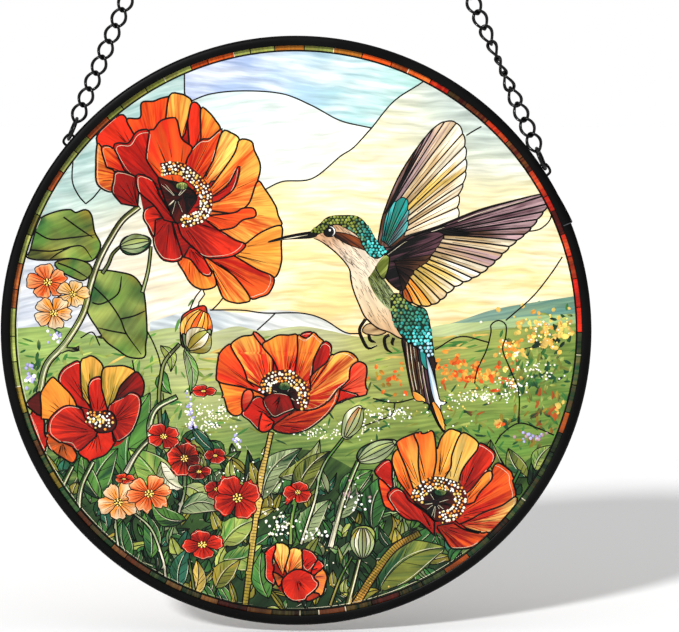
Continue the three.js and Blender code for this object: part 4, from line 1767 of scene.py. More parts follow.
    def _draw_down(self, picture: Picture, cell: Cell, angle: float, paint: Paint) -> None:
        """Hatches a pane with short hairs.

        Args:
            picture: The picture.
            cell: The pane.
            angle: The hairs' direction.
            paint: The name that seeds where they lie.
        """
        rng = np.random.default_rng(len(paint.name) + SEED)
        low, high = cell.outline.min(0), cell.outline.max(0)
        for place in rng.uniform(low, high, (self.hatch, 2)):
            turn = angle + rng.normal(0, 0.12)
            hair = place + np.linspace(0, rng.uniform(1.2, 3.0), 4)[:, None] * (math.cos(turn),
                math.sin(turn))
            if inside(hair, cell.outline).all():
                picture.ink(hair, 0.11, 0.8, 0.2)

    def _draw_lower_wing(self, picture: Picture) -> None:
        """Lays the near wing: its feathers, its dark coverts and the green shoulder."""
        edge = np.vstack([smooth_path(self.lower_top), smooth_path(self.lower_tips)])
        picture.cell(edge, inner=Paint.PLUM, outer=Paint.MAUVE, angle=0.5, line=0.55)
        near = ((Paint.PLUM, Paint.MAUVE), (Paint.PLUM, Paint.MAUVE), (Paint.BROWN, Paint.MAUVE),
                (Paint.TAN, Paint.CREAM), (Paint.TAN, Paint.MAUVE), (Paint.TAN, Paint.CREAM),
                (Paint.STRAW, Paint.WHITE), (Paint.STRAW, Paint.CREAM), (Paint.STRAW, Paint.FAWN),
                (Paint.AMBER, Paint.STRAW), (Paint.RUST, Paint.GOLD))
        FeatherFan(self.lower_roots, self.lower_tips, 20, near, 0.6).draw(picture)
        picture.blob(self.dark_coverts, inner=Paint.INK, outer=Paint.PLUM, angle=0.3, line=0.5)
        folds = ((Paint.INK, Paint.PLUM), (Paint.UMBER, Paint.BROWN), (Paint.INK, Paint.UMBER))
        FeatherFan([(30, 23), (33, 24), (34.5, 20)], self.lower_roots[1:], 9, folds, 0.34).draw(picture)
        picture.line(self.lower_top, 0.85, thin_start=1.0, thin_end=0.5)
        picture.line(np.array(self.lower_top) + (0.3, -0.9), 0.2, pale=True)
        picture.blob(self.shoulder, inner=Paint.BRONZE, outer=Paint.LIME, angle=0.8, line=0.45)

    def _draw_head(self, picture: Picture) -> None:
        """Lays the head, its scales, the cheek stripe, the bill and the eye."""
        face = picture.blob(self.head_fill, washes=self.down, angle=-1.1, line=0.0, lift=Paint.TAN,
                            lift_share=0.3, seed=3)
        self._draw_down(picture, face, -0.8, Paint.TAN)
        picture.line([(5, 32.2), (8, 31), (11, 29), (15, 25.5), (18, 21.5), (18.6, 18)], 0.5, thin_start=0.5,
                     thin_end=1.0)
        picture.blob(self.cheek, inner=Paint.UMBER, outer=Paint.RUST, angle=-0.6, line=0.35)
        ScaleCoat(self.crown, (7, 34), (29, 27), (Paint.BRONZE, Paint.MOSS, Paint.BRONZE, Paint.TEAL,
                                                  Paint.AQUA),
                  spacing=1.15, radius=0.55).draw(picture)
        picture.cell(smooth_path(self.beak, closed=True), inner=Paint.INK, outer=Paint.INK, angle=0.1,
                     line=0.4)
        picture.line([(-8.5, 30.6), (-3, 31.7), (4, 33.0)], 0.3, pale=True)
        self._draw_eye(picture)

    def _draw_eye(self, picture: Picture) -> None:
        """Lays the eye's pale ring and its dark ball with a light in it."""
        turns = np.linspace(0, 2 * math.pi, 20, endpoint=False)
        ring = np.stack([np.cos(turns), np.sin(turns)], axis=1)
        eye = np.array(self.eye)
        picture.cell(eye + (0.55, 0.15) + ring * 1.85, inner=Paint.WHITE, outer=Paint.WHITE, line=0.3)
        picture.cell(eye + ring * 1.7, inner=Paint.INK, outer=Paint.INK, line=0.3)
        picture.dot(eye + (0.45, 0.55), 0.42, Paint.WHITE.rgb)


# ---------------------------------------------------------------- what grows in the meadow


@dataclass(frozen=True)
class Undergrowth:
    """Random blades and leaves that fill the foot of the picture."""

    count: int = 520
    top: float = -34.0
    paints: Sequence[tuple[Paint, Paint]] = (
        (Paint.DEEP, Paint.FERN), (Paint.PINE, Paint.LEAF), (Paint.DEEP, Paint.PINE),
        (Paint.PINE, Paint.FERN),
        (Paint.MOSS, Paint.LIME), (Paint.PINE, Paint.SEA), (Paint.OLIVE, Paint.MOSS),
        (Paint.FERN, Paint.SAGE),
    )

    def draw(self, picture: Picture) -> None:
        """Lays the blades from the highest to the lowest."""
        rng = np.random.default_rng(SEED)
        places = []
        while len(places) < self.count:
            x, z = rng.uniform(-94, 94), rng.uniform(-97, self.top)
            brow = self.top - 18 * math.exp(-((x - 25) / 40) ** 2) - 14 * math.exp(-((x - 70) / 26) ** 2)
            if math.hypot(x, z) < 97 and z < brow + rng.uniform(-6, 4):
                places.append((x, z))
        for x, z in sorted(places, key=lambda place: -place[1]):
            turn = math.radians(rng.normal(90, 38))
            length = rng.uniform(4, 12)
            inner, outer = self.paints[int(rng.integers(len(self.paints)))]
            Leaf((x, z), (x + length * math.cos(turn), z + length * math.sin(turn)), rng.uniform(0.7, 2.1),
                 rng.normal(0, 0.12), inner, outer, 0.36, 1, rng.uniform(0.55, 1.25),
                 bool(rng.random() < 0.5)).draw(picture)


@dataclass(frozen=True)
class Thicket:
    """Many small strokes of paint without lines: grass, far bushes and their flowers."""

    centre: Point
    spread: Point
    count: int
    paints: Sequence[Paint]
    length: tuple[float, float] = (1.5, 4.0)
    slim: float = 0.3
    turn: float = 0.0
    sway: float = 0.5
    line: float = 0.0

    def draw(self, picture: Picture) -> None:
        """Lays the strokes."""
        rng = np.random.default_rng(int(abs(self.centre[0] * 11 + self.centre[1] * 5)) + self.count)
        for place in rng.normal(self.centre, self.spread, (self.count, 2)):
            length = rng.uniform(*self.length)
            heading = self.turn + rng.normal(0, self.sway)
            first, second = rng.integers(len(self.paints), size=2)
            shade = rng.uniform(0.75, 1.2)
            if math.hypot(*place) < 94:
                ahead = np.array([math.cos(heading), math.sin(heading)]) * length / 2
                side = np.array([-ahead[1], ahead[0]]) * self.slim
                outline = place + np.array([-ahead, -0.4 * ahead + side, 0.5 * ahead + side, ahead,
                                            0.5 * ahead - side, -0.4 * ahead - side])
                picture.cell(outline, inner=self.paints[first], outer=self.paints[second], angle=heading,
                             line=self.line, shade=shade)


@dataclass(frozen=True)
class Sprinkle:
    """A loose cluster of small raised dots, for distant flowers."""

    centre: Point
    spread: Point
    count: int
    paints: Sequence[Paint]
    radius: tuple[float, float] = (0.18, 0.42)

    def draw(self, picture: Picture) -> None:
        """Sets the dots where no flower or bird covers them."""
        rng = np.random.default_rng(int(abs(self.centre[0] * 13 + self.centre[1] * 7)) + self.count)
        for place in rng.normal(self.centre, self.spread, (self.count, 2)):
            paint = self.paints[int(rng.integers(len(self.paints)))]
            if math.hypot(*place) < 93.5:
                picture.dot(place, rng.uniform(*self.radius), paint.rgb * rng.uniform(0.8, 1.1))


@dataclass(frozen=True)
class BroadLeaf:
    """A wide lobed leaf, its veins drawn and its fields in two greens."""

    outline: Points
    veins: Sequence[Points]
    inner: Paint = Paint.MOSS
    outer: Paint = Paint.LEAF
    angle: float = 0.4
    line: float = 0.6

    def draw(self, picture: Picture) -> None:
        """Lays the leaf and draws its veins."""
        spread = np.ptp(np.array(self.outline), axis=0).max() / 3
        low = tuple(np.min(self.outline, axis=0))
        high = tuple(np.max(self.outline, axis=0))
        rng = np.random.default_rng(SEED + len(self.outline))
        codes = [paint.value for paint in (self.outer, Paint.DEEP, Paint.LEAF, Paint.OLIVE, Paint.PINE,
                                           Paint.LIME)]
        washes = [Wash(tuple(rng.uniform(low, high)), spread * 0.2, codes[k % 6]) for k in range(30)]
        picture.blob(self.outline, washes=washes, angle=self.angle, line=self.line, folds=0.4,
                     lift=self.inner, lift_share=0.35, weave=0.6)
        for vein in self.veins:
            picture.line(vein, 0.55, thin_start=1.0, thin_end=0.5)


LEAVES = (
    Leaf((-57, -49.5), (-49.5, -20.5), 6.5, 0.1, Paint.FERN, Paint.LEAF),
    Leaf((-44.5, -58.5), (-57, -39.5), 6.0, -0.12, Paint.LEAF, Paint.LIME),
    Leaf((-70, -58.5), (-60.5, -39.5), 5.0, 0.1, Paint.PINE, Paint.LEAF),
    Leaf((-76.5, -47), (-68, -41.5), 4.0, 0.2, Paint.PINE, Paint.FERN),
    Leaf((-38.5, -52.5), (-31, -59.5), 3.2, 0.2, Paint.SAGE, Paint.LIME),
    Leaf((-46, -44), (-38, -53.5), 3.0, -0.2, Paint.CREAM, Paint.SAGE),
    Leaf((-11.5, -57), (2, -39.5), 4.2, 0.16, Paint.PINE, Paint.SAGE, veins=6),
    Leaf((-6, -49.5), (8, -36.5), 3.4, -0.2, Paint.MOSS, Paint.SAGE, veins=5),
    Leaf((0, -57), (11.5, -40.5), 4.0, 0.12, Paint.DEEP, Paint.MOSS, veins=6),
    Leaf((15, -57), (26, -47), 3.6, 0.1, Paint.PINE, Paint.LEAF, veins=4),
    Leaf((26, -67), (34, -47), 4.4, 0.14, Paint.DEEP, Paint.FERN, veins=4),
    Leaf((13.5, -64), (19, -49.5), 3.6, -0.1, Paint.PINE, Paint.SAGE, veins=5),
    Leaf((1.5, -72.5), (11.5, -57), 4.0, 0.1, Paint.FERN, Paint.SAGE, veins=6),
    Leaf((27, -77.5), (49, -64.5), 4.6, -0.12, Paint.PINE, Paint.FERN, veins=4),
    Leaf((28.5, -87.5), (51, -73.5), 6.6, 0.14, Paint.PINE, Paint.MOSS, veins=2),
    Leaf((27, -91), (59, -81.5), 5.2, -0.1, Paint.DEEP, Paint.LEAF, veins=4),
    Leaf((32.5, -95), (49, -87), 3.0, 0.1, Paint.PINE, Paint.LIME, veins=3),
    Leaf((-25, -72.5), (-13.5, -64), 4.6, 0.1, Paint.LEAF, Paint.LIME, veins=2),
    Leaf((-25, -77.5), (-11.5, -72.5), 4.2, -0.16, Paint.FERN, Paint.LIME, veins=2),
    Leaf((-39.5, -61), (-25, -61), 3.6, 0.2, Paint.PINE, Paint.SAGE, veins=3),
    Leaf((-37.5, -64), (-49.5, -57), 3.2, 0.2, Paint.DEEP, Paint.LEAF, veins=3),
    Leaf((-27.5, -87.5), (-19, -77.5), 3.6, 0.1, Paint.OLIVE, Paint.MOSS, veins=3),
    Leaf((-40, -87.5), (-36.5, -73.5), 3.2, 0.1, Paint.PINE, Paint.SEA, veins=3),
    Leaf((-35.5, -91), (-34, -77.5), 2.8, -0.1, Paint.OLIVE, Paint.STRAW, veins=3),
    Leaf((-9.5, -91), (-11.5, -74.5), 3.4, 0.1, Paint.FERN, Paint.LEAF, veins=3),
    Leaf((-56.5, -77.5), (-59, -64), 3.2, 0.1, Paint.PINE, Paint.FERN, veins=3),
    Leaf((-49.5, -77.5), (-52, -61), 3.0, -0.1, Paint.PINE, Paint.LEAF, veins=3),
    Leaf((-66.5, -57), (-72.5, -40.5), 3.2, 0.1, Paint.DEEP, Paint.LEAF, veins=3),
    Leaf((71, -57), (66, -36.5), 4.4, 0.1, Paint.PINE, Paint.MOSS, veins=4),
    Leaf((81, -47), (87, -38.5), 3.0, 0.1, Paint.FERN, Paint.LIME, veins=3),
    Leaf((78.5, -49.5), (72, -39.5), 3.2, 0.1, Paint.PINE, Paint.MOSS, veins=3),
    Leaf((-46, -4.5), (-42.5, -13.5), 2.0, 0.2, Paint.FERN, Paint.LIME, veins=1),
    Leaf((-38, -6), (-36, -21.5), 2.0, 0.12, Paint.LEAF, Paint.SAGE, veins=2),
    Leaf((-45, -13), (-42.5, -21), 2.4, -0.2, Paint.FERN, Paint.LEAF, veins=1),
)

BROAD_LEAVES = (
    BroadLeaf([(-90, 27.5), (-88, 34.5), (-86.5, 38.5), (-80.5, 41), (-76, 41.5), (-74.5, 40.5),
               (-71, 41.5), (-69, 39.5), (-68, 34), (-66, 29.5),
               (-68, 25), (-71, 24), (-76.5, 25), (-82, 24.5), (-87.5, 24.5), (-91, 25.5)],
              ([(-88, 34), (-83, 31.5), (-76, 32), (-68, 33)],
               [(-91, 28), (-82.5, 27.5), (-76, 29), (-72, 29), (-69, 25)],
               [(-78.5, 39), (-73, 35), (-68.5, 32)], [(-76, 29), (-80, 27), (-83.5, 24.5)])),
    BroadLeaf([(-70.5, 16), (-69, 20.5), (-65, 21), (-60.5, 20.5), (-55, 19), (-52, 15), (-51, 10),
               (-50.5, 0.5), (-51, -4.5),
               (-51.5, -8.5), (-56.5, -8.5), (-60.5, -6), (-64.5, -3), (-67.5, 1.5), (-70.5, 6.5),
               (-71, 11.5)],
              ([(-69, 16), (-63.5, 10.5), (-59.5, 4.5), (-57.5, -0.5), (-52.5, -7.5)],
               [(-63.5, 10.5), (-60, 13.5), (-59, 19)],
               [(-59.5, 4.5), (-55, 5.5), (-50.5, 7.5)], [(-57.5, -0.5), (-63, 0.5), (-67, 1.5)],
               [(-63.5, 10.5), (-67, 9.5), (-71, 11)]),
              Paint.FERN, Paint.LIME, 1.0),
    BroadLeaf([(-81.5, 23.5), (-76.5, 25), (-70.5, 23.5), (-69, 20.5), (-72, 17.5), (-76.5, 19), (-80, 21)],
              ([(-80.5, 23.5), (-75.5, 21.5), (-70.5, 18.5)],), Paint.FERN, Paint.MOSS),
)

STEMS = (
    Stem([(-53, 42.5), (-58.5, 38), (-62.5, 32), (-66.5, 24.5), (-69.5, 16), (-72, 6.5), (-78, -3.5),
          (-84.5, -11), (-87, -20.5)], 2.0,
         Paint.MOSS, Paint.SAGE),
    Stem([(-49, 29), (-50, 21), (-52, 13.5)], 1.0, Paint.MOSS, Paint.SAGE),
    Stem([(-59.5, 29), (-62, 26.5), (-63.5, 23), (-65.5, 20)], 1.0, Paint.MOSS, Paint.SAGE),
    Stem([(-39.5, -4), (-44.5, -10), (-46, -16.5), (-46.5, -23), (-46, -33.5)], 1.2, Paint.MOSS, Paint.SAGE),
    Stem([(-40.5, -22), (-47, -25.5), (-49.5, -30.5), (-49.5, -36)], 2.0, Paint.LEAF),
    Stem([(-49.5, -36), (-54, -41), (-58, -48)], 1.8, Paint.LEAF),
    Stem([(-8.5, -34), (-12, -51), (-15, -73.5), (-17.5, -93.5)], 1.9, Paint.STRAW, Paint.OLIVE, rungs=1.1),
    Stem([(42, -68.5), (33, -74), (26, -83.5), (19, -95)], 2.6, Paint.OLIVE, Paint.GOLD, rungs=0.9),
    Stem([(21.5, -77.5), (19.5, -85.5), (17, -95)], 1.6, Paint.LEAF, Paint.STRAW),
    Stem([(21, -44), (18.5, -50), (15.5, -58.5), (11.5, -73.5)], 1.8, Paint.LEAF, Paint.CREAM),
    Stem([(16, -36), (9, -46), (6, -58.5), (1.5, -72.5)], 1.0, Paint.LEAF, Paint.CREAM),
    Stem([(-69, -44), (-73, -52.5), (-74, -61), (-74, -72.5)], 1.8, Paint.LEAF, Paint.CREAM),
    Stem([(-76, -45.5), (-79, -51.5), (-81.5, -57)], 1.8, Paint.LEAF, Paint.CREAM),
    Stem([(-37.5, -47.5), (-38, -54.5), (-40, -61.5)], 1.0, Paint.LEAF, Paint.CREAM),
    Stem([(-57, -60.5), (-49.5, -67), (-45.5, -77.5), (-44.5, -84)], 1.0, Paint.SAGE, Paint.CREAM),
    Stem([(-61.5, -64), (-61, -70.5), (-59.5, -77.5)], 1.0, Paint.SAGE, Paint.CREAM),
    Stem([(0, -57.5), (-1.5, -64), (-2, -72.5)], 1.2, Paint.LEAF, Paint.LIME),
    Stem([(-36.5, -77.5), (-35.5, -84), (-34.5, -91)], 1.0, Paint.LEAF, Paint.LIME),
    Stem([(19, -76.5), (15, -84), (11.5, -93.5)], 1.0, Paint.LEAF, Paint.STRAW),
    Stem([(76, -47), (73, -53.5), (72, -60.5)], 1.2, Paint.FERN, Paint.SAGE),
)

BUDS = (
    Bud([(-59.5, 29), (-58, 32), (-54, 33), (-50.5, 32.5), (-49, 31), (-50, 28.5), (-53.5, 26.5),
         (-57.5, 26.5)], (-59.5, 29), (-49, 31),
        (Paint.PINE, Paint.SAGE, Paint.LIME, Paint.BRONZE), 4),
    Bud([(-39, -3.5), (-39, 3.5), (-37.5, 6.5), (-31, 9), (-30, 4), (-29, 0), (-30.5, -4), (-34, -6.5),
         (-37.5, -5.5)],
        (-36.5, -5), (-31, 8), (Paint.SCARLET, Paint.AMBER, Paint.YELLOW, Paint.ORANGE, Paint.GOLD,
                                Paint.YELLOW),
        6, heel=Paint.AMBER),
    Bud([(-38.5, -0.5), (-36, -1.5), (-32.5, -0.5), (-29, 1), (-29, -2), (-30.5, -4.5), (-34, -6.5),
         (-37.5, -5.5)], (-36.5, -6), (-29.5, 0.5),
        (Paint.SAGE, Paint.CREAM, Paint.LIME, Paint.CREAM), 4, heel=Paint.OLIVE),
    Bud([(15.5, -35.5), (15.5, -32.5), (16.5, -28), (19.5, -25.5), (22, -25), (22.5, -28), (21, -32.5),
         (19.5, -35), (17.5, -36.5)],
        (16.5, -36), (22, -25), (Paint.MOSS, Paint.YELLOW, Paint.RUST, Paint.CREAM), 4),
    Bud([(20.5, -42.5), (22, -39.5), (26, -37.5), (30, -36.5), (34, -37), (32.5, -40), (29.5, -43),
         (26, -45), (22, -44.5)],
        (21, -44), (34, -37.5), (Paint.SAGE, Paint.CREAM, Paint.LIME), 4),
    Bud([(18.5, -70), (19.5, -67), (23, -66), (26, -67), (27, -70), (26, -74.5), (23.5, -77), (20.5, -77),
         (19, -74)],
        (22.5, -77.5), (22.5, -66), (Paint.LIME, Paint.CREAM, Paint.OLIVE), 6),
)

BLOSSOMS = (
    Blossom((-84, 17), 7.4, turn=0.5, inner=Paint.ORANGE, outer=Paint.PEACH),
    Blossom((-75.5, 13), 6.2, turn=0.1, inner=Paint.GOLD, outer=Paint.FAWN),
    Blossom((-82, 6.5), 7.0, turn=1.1, inner=Paint.AMBER, outer=Paint.FAWN),
    Blossom((-58.5, -50), 3.6, 4, 0.4, 0.55, Paint.SCARLET, Paint.ORANGE),
    Blossom((-60.5, -58), 7.4, 5, 0.9, 0.95, Paint.AMBER, Paint.FAWN),
    Blossom((-50, -55), 8.0, 6, 0.2, 0.8, Paint.ORANGE, Paint.PEACH),
    Blossom((-45, -35.5), 6.0, 4, 0.6, 0.75, Paint.CRIMSON, Paint.SCARLET, notch=0.0),
    Blossom((-38, -43), 6.4, 4, 1.2, 0.95, Paint.MAROON, Paint.SCARLET, notch=0.0),
    Blossom((-27.5, -42), 4.2, 3, 0.9, 0.7, Paint.CRIMSON, Paint.SCARLET, notch=0.0),
    Blossom((-33, -47.5), 4.8, 3, 0.2, 0.6, Paint.MAROON, Paint.RED, notch=0.0),
    Blossom((-27, -53.5), 4.8, 3, 2.6, 0.75, Paint.CRIMSON, Paint.SCARLET, notch=0.0),
    Blossom((-20, -56.5), 8.2, 4, 0.5, 0.95, Paint.CRIMSON, Paint.SCARLET, notch=0.0),
    Blossom((0.5, -54.5), 5.2, 3, 1.2, 0.8, Paint.CRIMSON, Paint.SCARLET, notch=0.0),
    Blossom((-32, -72.5), 7.4, 4, 0.2, 0.7, Paint.CRIMSON, Paint.SCARLET, notch=0.0),
    Blossom((-31.5, -20), 4.4, 3, 0.0, 0.5, Paint.RED, Paint.SCARLET, notch=0.02),
)

THICKETS = (
    Thicket((-15.5, -9.5), (26, 3.0), 90, (Paint.LIME, Paint.STRAW, Paint.LEAF), (3, 9), 0.1, 0.1, 0.2),
    Thicket((-22.5, -23), (22, 6.0), 150, (Paint.LEAF, Paint.LIME, Paint.FERN, Paint.MOSS), (2, 6), 0.14,
            0.0, 0.4),
    Thicket((11.5, -31.5), (26, 6.0), 170, (Paint.FERN, Paint.LIME, Paint.MOSS, Paint.PINE), (2, 6), 0.14,
            0.0, 0.5),
    Thicket((52, -23), (26, 8.0), 260, (Paint.FERN, Paint.LEAF, Paint.MOSS, Paint.LIME, Paint.PINE),
            (1.5, 5), 0.16,
            0.1, 0.7),
    Thicket((59, -4.5), (14, 2.6), 60, (Paint.LEAF, Paint.STRAW, Paint.FERN), (3, 8), 0.1, 0.2, 0.2),
    Thicket((49, -31.5), (18, 4.0), 90, (Paint.PINE, Paint.FERN, Paint.MOSS), (1.5, 4), 0.2, 0.3, 0.8),
    Thicket((76, -23), (14, 6.0), 90, (Paint.PINE, Paint.FERN, Paint.RUST, Paint.MOSS), (1.5, 4), 0.22, 0.8,
            0.9),
    Thicket((89.5, -4.5), (6, 8.0), 130, (Paint.FERN, Paint.PINE, Paint.DEEP, Paint.LIME), (1.5, 3.6), 0.35,
            0.8, 1.2),
    Thicket((81, -18), (9, 7.0), 150, (Paint.FERN, Paint.PINE, Paint.MOSS, Paint.LIME), (1.5, 4), 0.3, 1.2,
            0.8),
    Thicket((85.5, -31.5), (7, 6.0), 80, (Paint.FERN, Paint.PINE, Paint.OLIVE, Paint.RUST), (1.5, 4), 0.3,
            1.2, 0.8),
    Thicket((-80, -6), (9, 2.0), 40, (Paint.LEAF, Paint.LIME, Paint.FERN), (2, 6), 0.14, 0.1, 0.4),
    Thicket((-85, -18), (6, 6.0), 70, (Paint.FERN, Paint.LIME, Paint.PINE), (2, 4), 0.3, 1.2, 0.7),
    Thicket((-44.5, -18), (9, 9.0), 80, (Paint.LEAF, Paint.FERN, Paint.LIME), (2, 6), 0.2, 1.2, 0.6),
    Thicket((84.5, 0.5), (6.5, 3.6), 90, (Paint.YELLOW, Paint.GOLD, Paint.STRAW), (1.0, 2.2), 0.7, 0.5, 1.5),
    Thicket((73, -6), (2.6, 2.6), 36, (Paint.YELLOW, Paint.GOLD, Paint.AMBER), (1.0, 2.2), 0.7, 0.5, 1.5),
    Thicket((58.5, -13.5), (5.0, 2.0), 60, (Paint.ORANGE, Paint.AMBER, Paint.GOLD), (1.2, 2.8), 0.6, 0.5,
            1.5),
    Thicket((52, -11), (4.0, 2.6), 26, (Paint.ORANGE, Paint.AMBER), (1.0, 2.4), 0.6, 0.5, 1.5),
    Thicket((71, -13.5), (3.0, 3.0), 22, (Paint.ORANGE, Paint.YELLOW, Paint.RUST), (1.0, 2.4), 0.6, 0.5,
            1.5),
    Thicket((34.5, -15.5), (5.0, 3.0), 40, (Paint.ORANGE, Paint.AMBER, Paint.OLIVE), (1.0, 2.4), 0.6, 0.5,
            1.5),
    Thicket((69, -31), (1.4, 1.0), 9, (Paint.ORANGE, Paint.YELLOW), (1.2, 2.4), 0.6, 0.5, 1.5),
    Thicket((89, -24.5), (1.0, 1.4), 7, (Paint.GOLD, Paint.YELLOW), (1.2, 2.4), 0.6, 0.5, 1.5),
)

SPRINKLES = (
    Sprinkle((-27.5, -27), (5.0, 1.6), 90, (Paint.WHITE, Paint.CREAM)),
    Sprinkle((-31, -31.5), (3.0, 1.2), 40, (Paint.WHITE, Paint.CREAM)),
    Sprinkle((7.5, -34), (6.5, 1.3), 90, (Paint.WHITE, Paint.CREAM)),
    Sprinkle((32, -28), (4.0, 1.5), 80, (Paint.WHITE, Paint.CREAM)),
    Sprinkle((22.5, -31), (3.0, 3.0), 40, (Paint.WHITE, Paint.CREAM)),
    Sprinkle((63, -22), (6.0, 0.9), 90, (Paint.WHITE, Paint.CREAM)),
    Sprinkle((73, -18), (3.4, 1.2), 40, (Paint.WHITE,)),
    Sprinkle((82.5, -12.5), (4.0, 1.6), 40, (Paint.WHITE, Paint.CREAM)),
    Sprinkle((52, -24), (9.0, 5.0), 40, (Paint.WHITE, Paint.YELLOW)),
    Sprinkle((84.5, 0.5), (6.5, 3.6), 50, (Paint.YELLOW, Paint.CREAM), (0.25, 0.5)),
    Sprinkle((73, -6), (2.6, 2.6), 20, (Paint.YELLOW, Paint.CREAM), (0.25, 0.5)),
    Sprinkle((58.5, -13.5), (5.0, 2.0), 26, (Paint.GOLD, Paint.AMBER), (0.25, 0.5)),
    Sprinkle((-36, -29), (0.8, 5.0), 40, (Paint.LAVENDER, Paint.WHITE), (0.3, 0.6)),
    Sprinkle((-35.5, -35.5), (0.8, 2.6), 18, (Paint.LAVENDER, Paint.SKY), (0.3, 0.6)),
    Sprinkle((-20.5, -36.5), (1.0, 2.2), 22, (Paint.LAVENDER, Paint.WHITE), (0.3, 0.6)),
    Sprinkle((-81.5, -1.5), (1.4, 1.2), 18, (Paint.LAVENDER, Paint.WHITE), (0.4, 0.8)),
    Sprinkle((-90, -13.5), (1.0, 3.0), 20, (Paint.LAVENDER, Paint.WHITE), (0.4, 0.8)),
    Sprinkle((80, -35.5), (4.0, 0.9), 18, (Paint.LAVENDER, Paint.MAUVE), (0.4, 0.7)),
)

FLOWERETS = (
    Sprinkle((-7, -65.5), (3.0, 3.4), 40, (Paint.WHITE, Paint.CREAM), (0.3, 0.6)),
    Sprinkle((19.5, -57.5), (2.2, 3.0), 26, (Paint.WHITE, Paint.MAUVE), (0.3, 0.6)),
    Sprinkle((6, -69), (2.0, 1.4), 18, (Paint.CREAM, Paint.WHITE), (0.3, 0.6)),
    Sprinkle((-64.5, -77.5), (5.0, 5.0), 14, (Paint.PLUM, Paint.LAVENDER), (0.3, 0.6)),
    Sprinkle((-15.5, -47), (8.0, 6.0), 26, (Paint.WHITE, Paint.CREAM), (0.2, 0.4)),
    Sprinkle((11.5, -82.5), (9.0, 7.0), 24, (Paint.STRAW, Paint.CREAM), (0.2, 0.35)),
)


def draw_picture() -> Picture:
    """Draws the whole picture, back to front.

    Returns:
        The picture.
    """
    picture = Picture()
    Land().draw(picture)
    for item in (*THICKETS, *SPRINKLES):
        item.draw(picture)
    Land().draw_lines(picture)
    Land().draw_shade(picture)
    Undergrowth().draw(picture)
    for group in (BROAD_LEAVES, LEAVES, STEMS, FLOWERETS, BUDS, BLOSSOMS):
        for item in group:
            item.draw(picture)
    for poppy in (BOTTOM_POPPY, LEFT_POPPY, RIGHT_POPPY, MID_POPPY, BIG_POPPY):
        poppy.draw(picture)
    Hummingbird().draw(picture)
    MosaicBorder().draw(picture)
    return picture


# ---------------------------------------------------------------- the panel


def top_cells(points: np.ndarray, cells: Sequence[Cell]) -> np.ndarray:
    """Finds the pane that shows at each point.

    Args:
        points: The points.
        cells: The panes, back to front.

    Returns:
        The number of each point's pane, or -1.
    """
    top = np.full(len(points), -1)
    for number, cell in enumerate(cells):
        top[inside(points, cell.outline)] = number
    return top


def new_piece(name: str, mesh: bpy.types.Mesh, slot: str, *replaced: str) -> bpy.types.Object:
    """Makes a finished mesh a piece of the object.

    Args:
        name: The piece's name.
        mesh: Its mesh, in the frame's metres.
        slot: The record's material slot; not used.
        replaced: The CAD nodes that it stands for.

    Returns:
        The piece.
    """
    piece = bpy.data.objects.new(name, mesh)
    mesh.name = name
    bpy.context.scene.collection.objects.link(piece)
    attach(piece, BODY)
    if replaced:
        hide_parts(*replaced)
    LOG.info("%s: %d faces", name, len(mesh.polygons))
    return piece


def move_mesh(mesh: bpy.types.Mesh, turn: np.ndarray, shift: np.ndarray, flip: bool = False) -> None:
    """Turns a mesh's points and moves them.

    Args:
        mesh: The mesh.
        turn: A 3 by 3 matrix, which may scale too.
        shift: What is added afterwards.
        flip: Whether the faces turn over, as a mirrored mesh needs.
    """
    place = np.empty(len(mesh.vertices) * 3)
    mesh.vertices.foreach_get("co", place)
    mesh.vertices.foreach_set("co", (place.reshape(-1, 3) @ turn.T + shift).ravel())
    if flip:
        mesh.flip_normals()
    mesh.update()


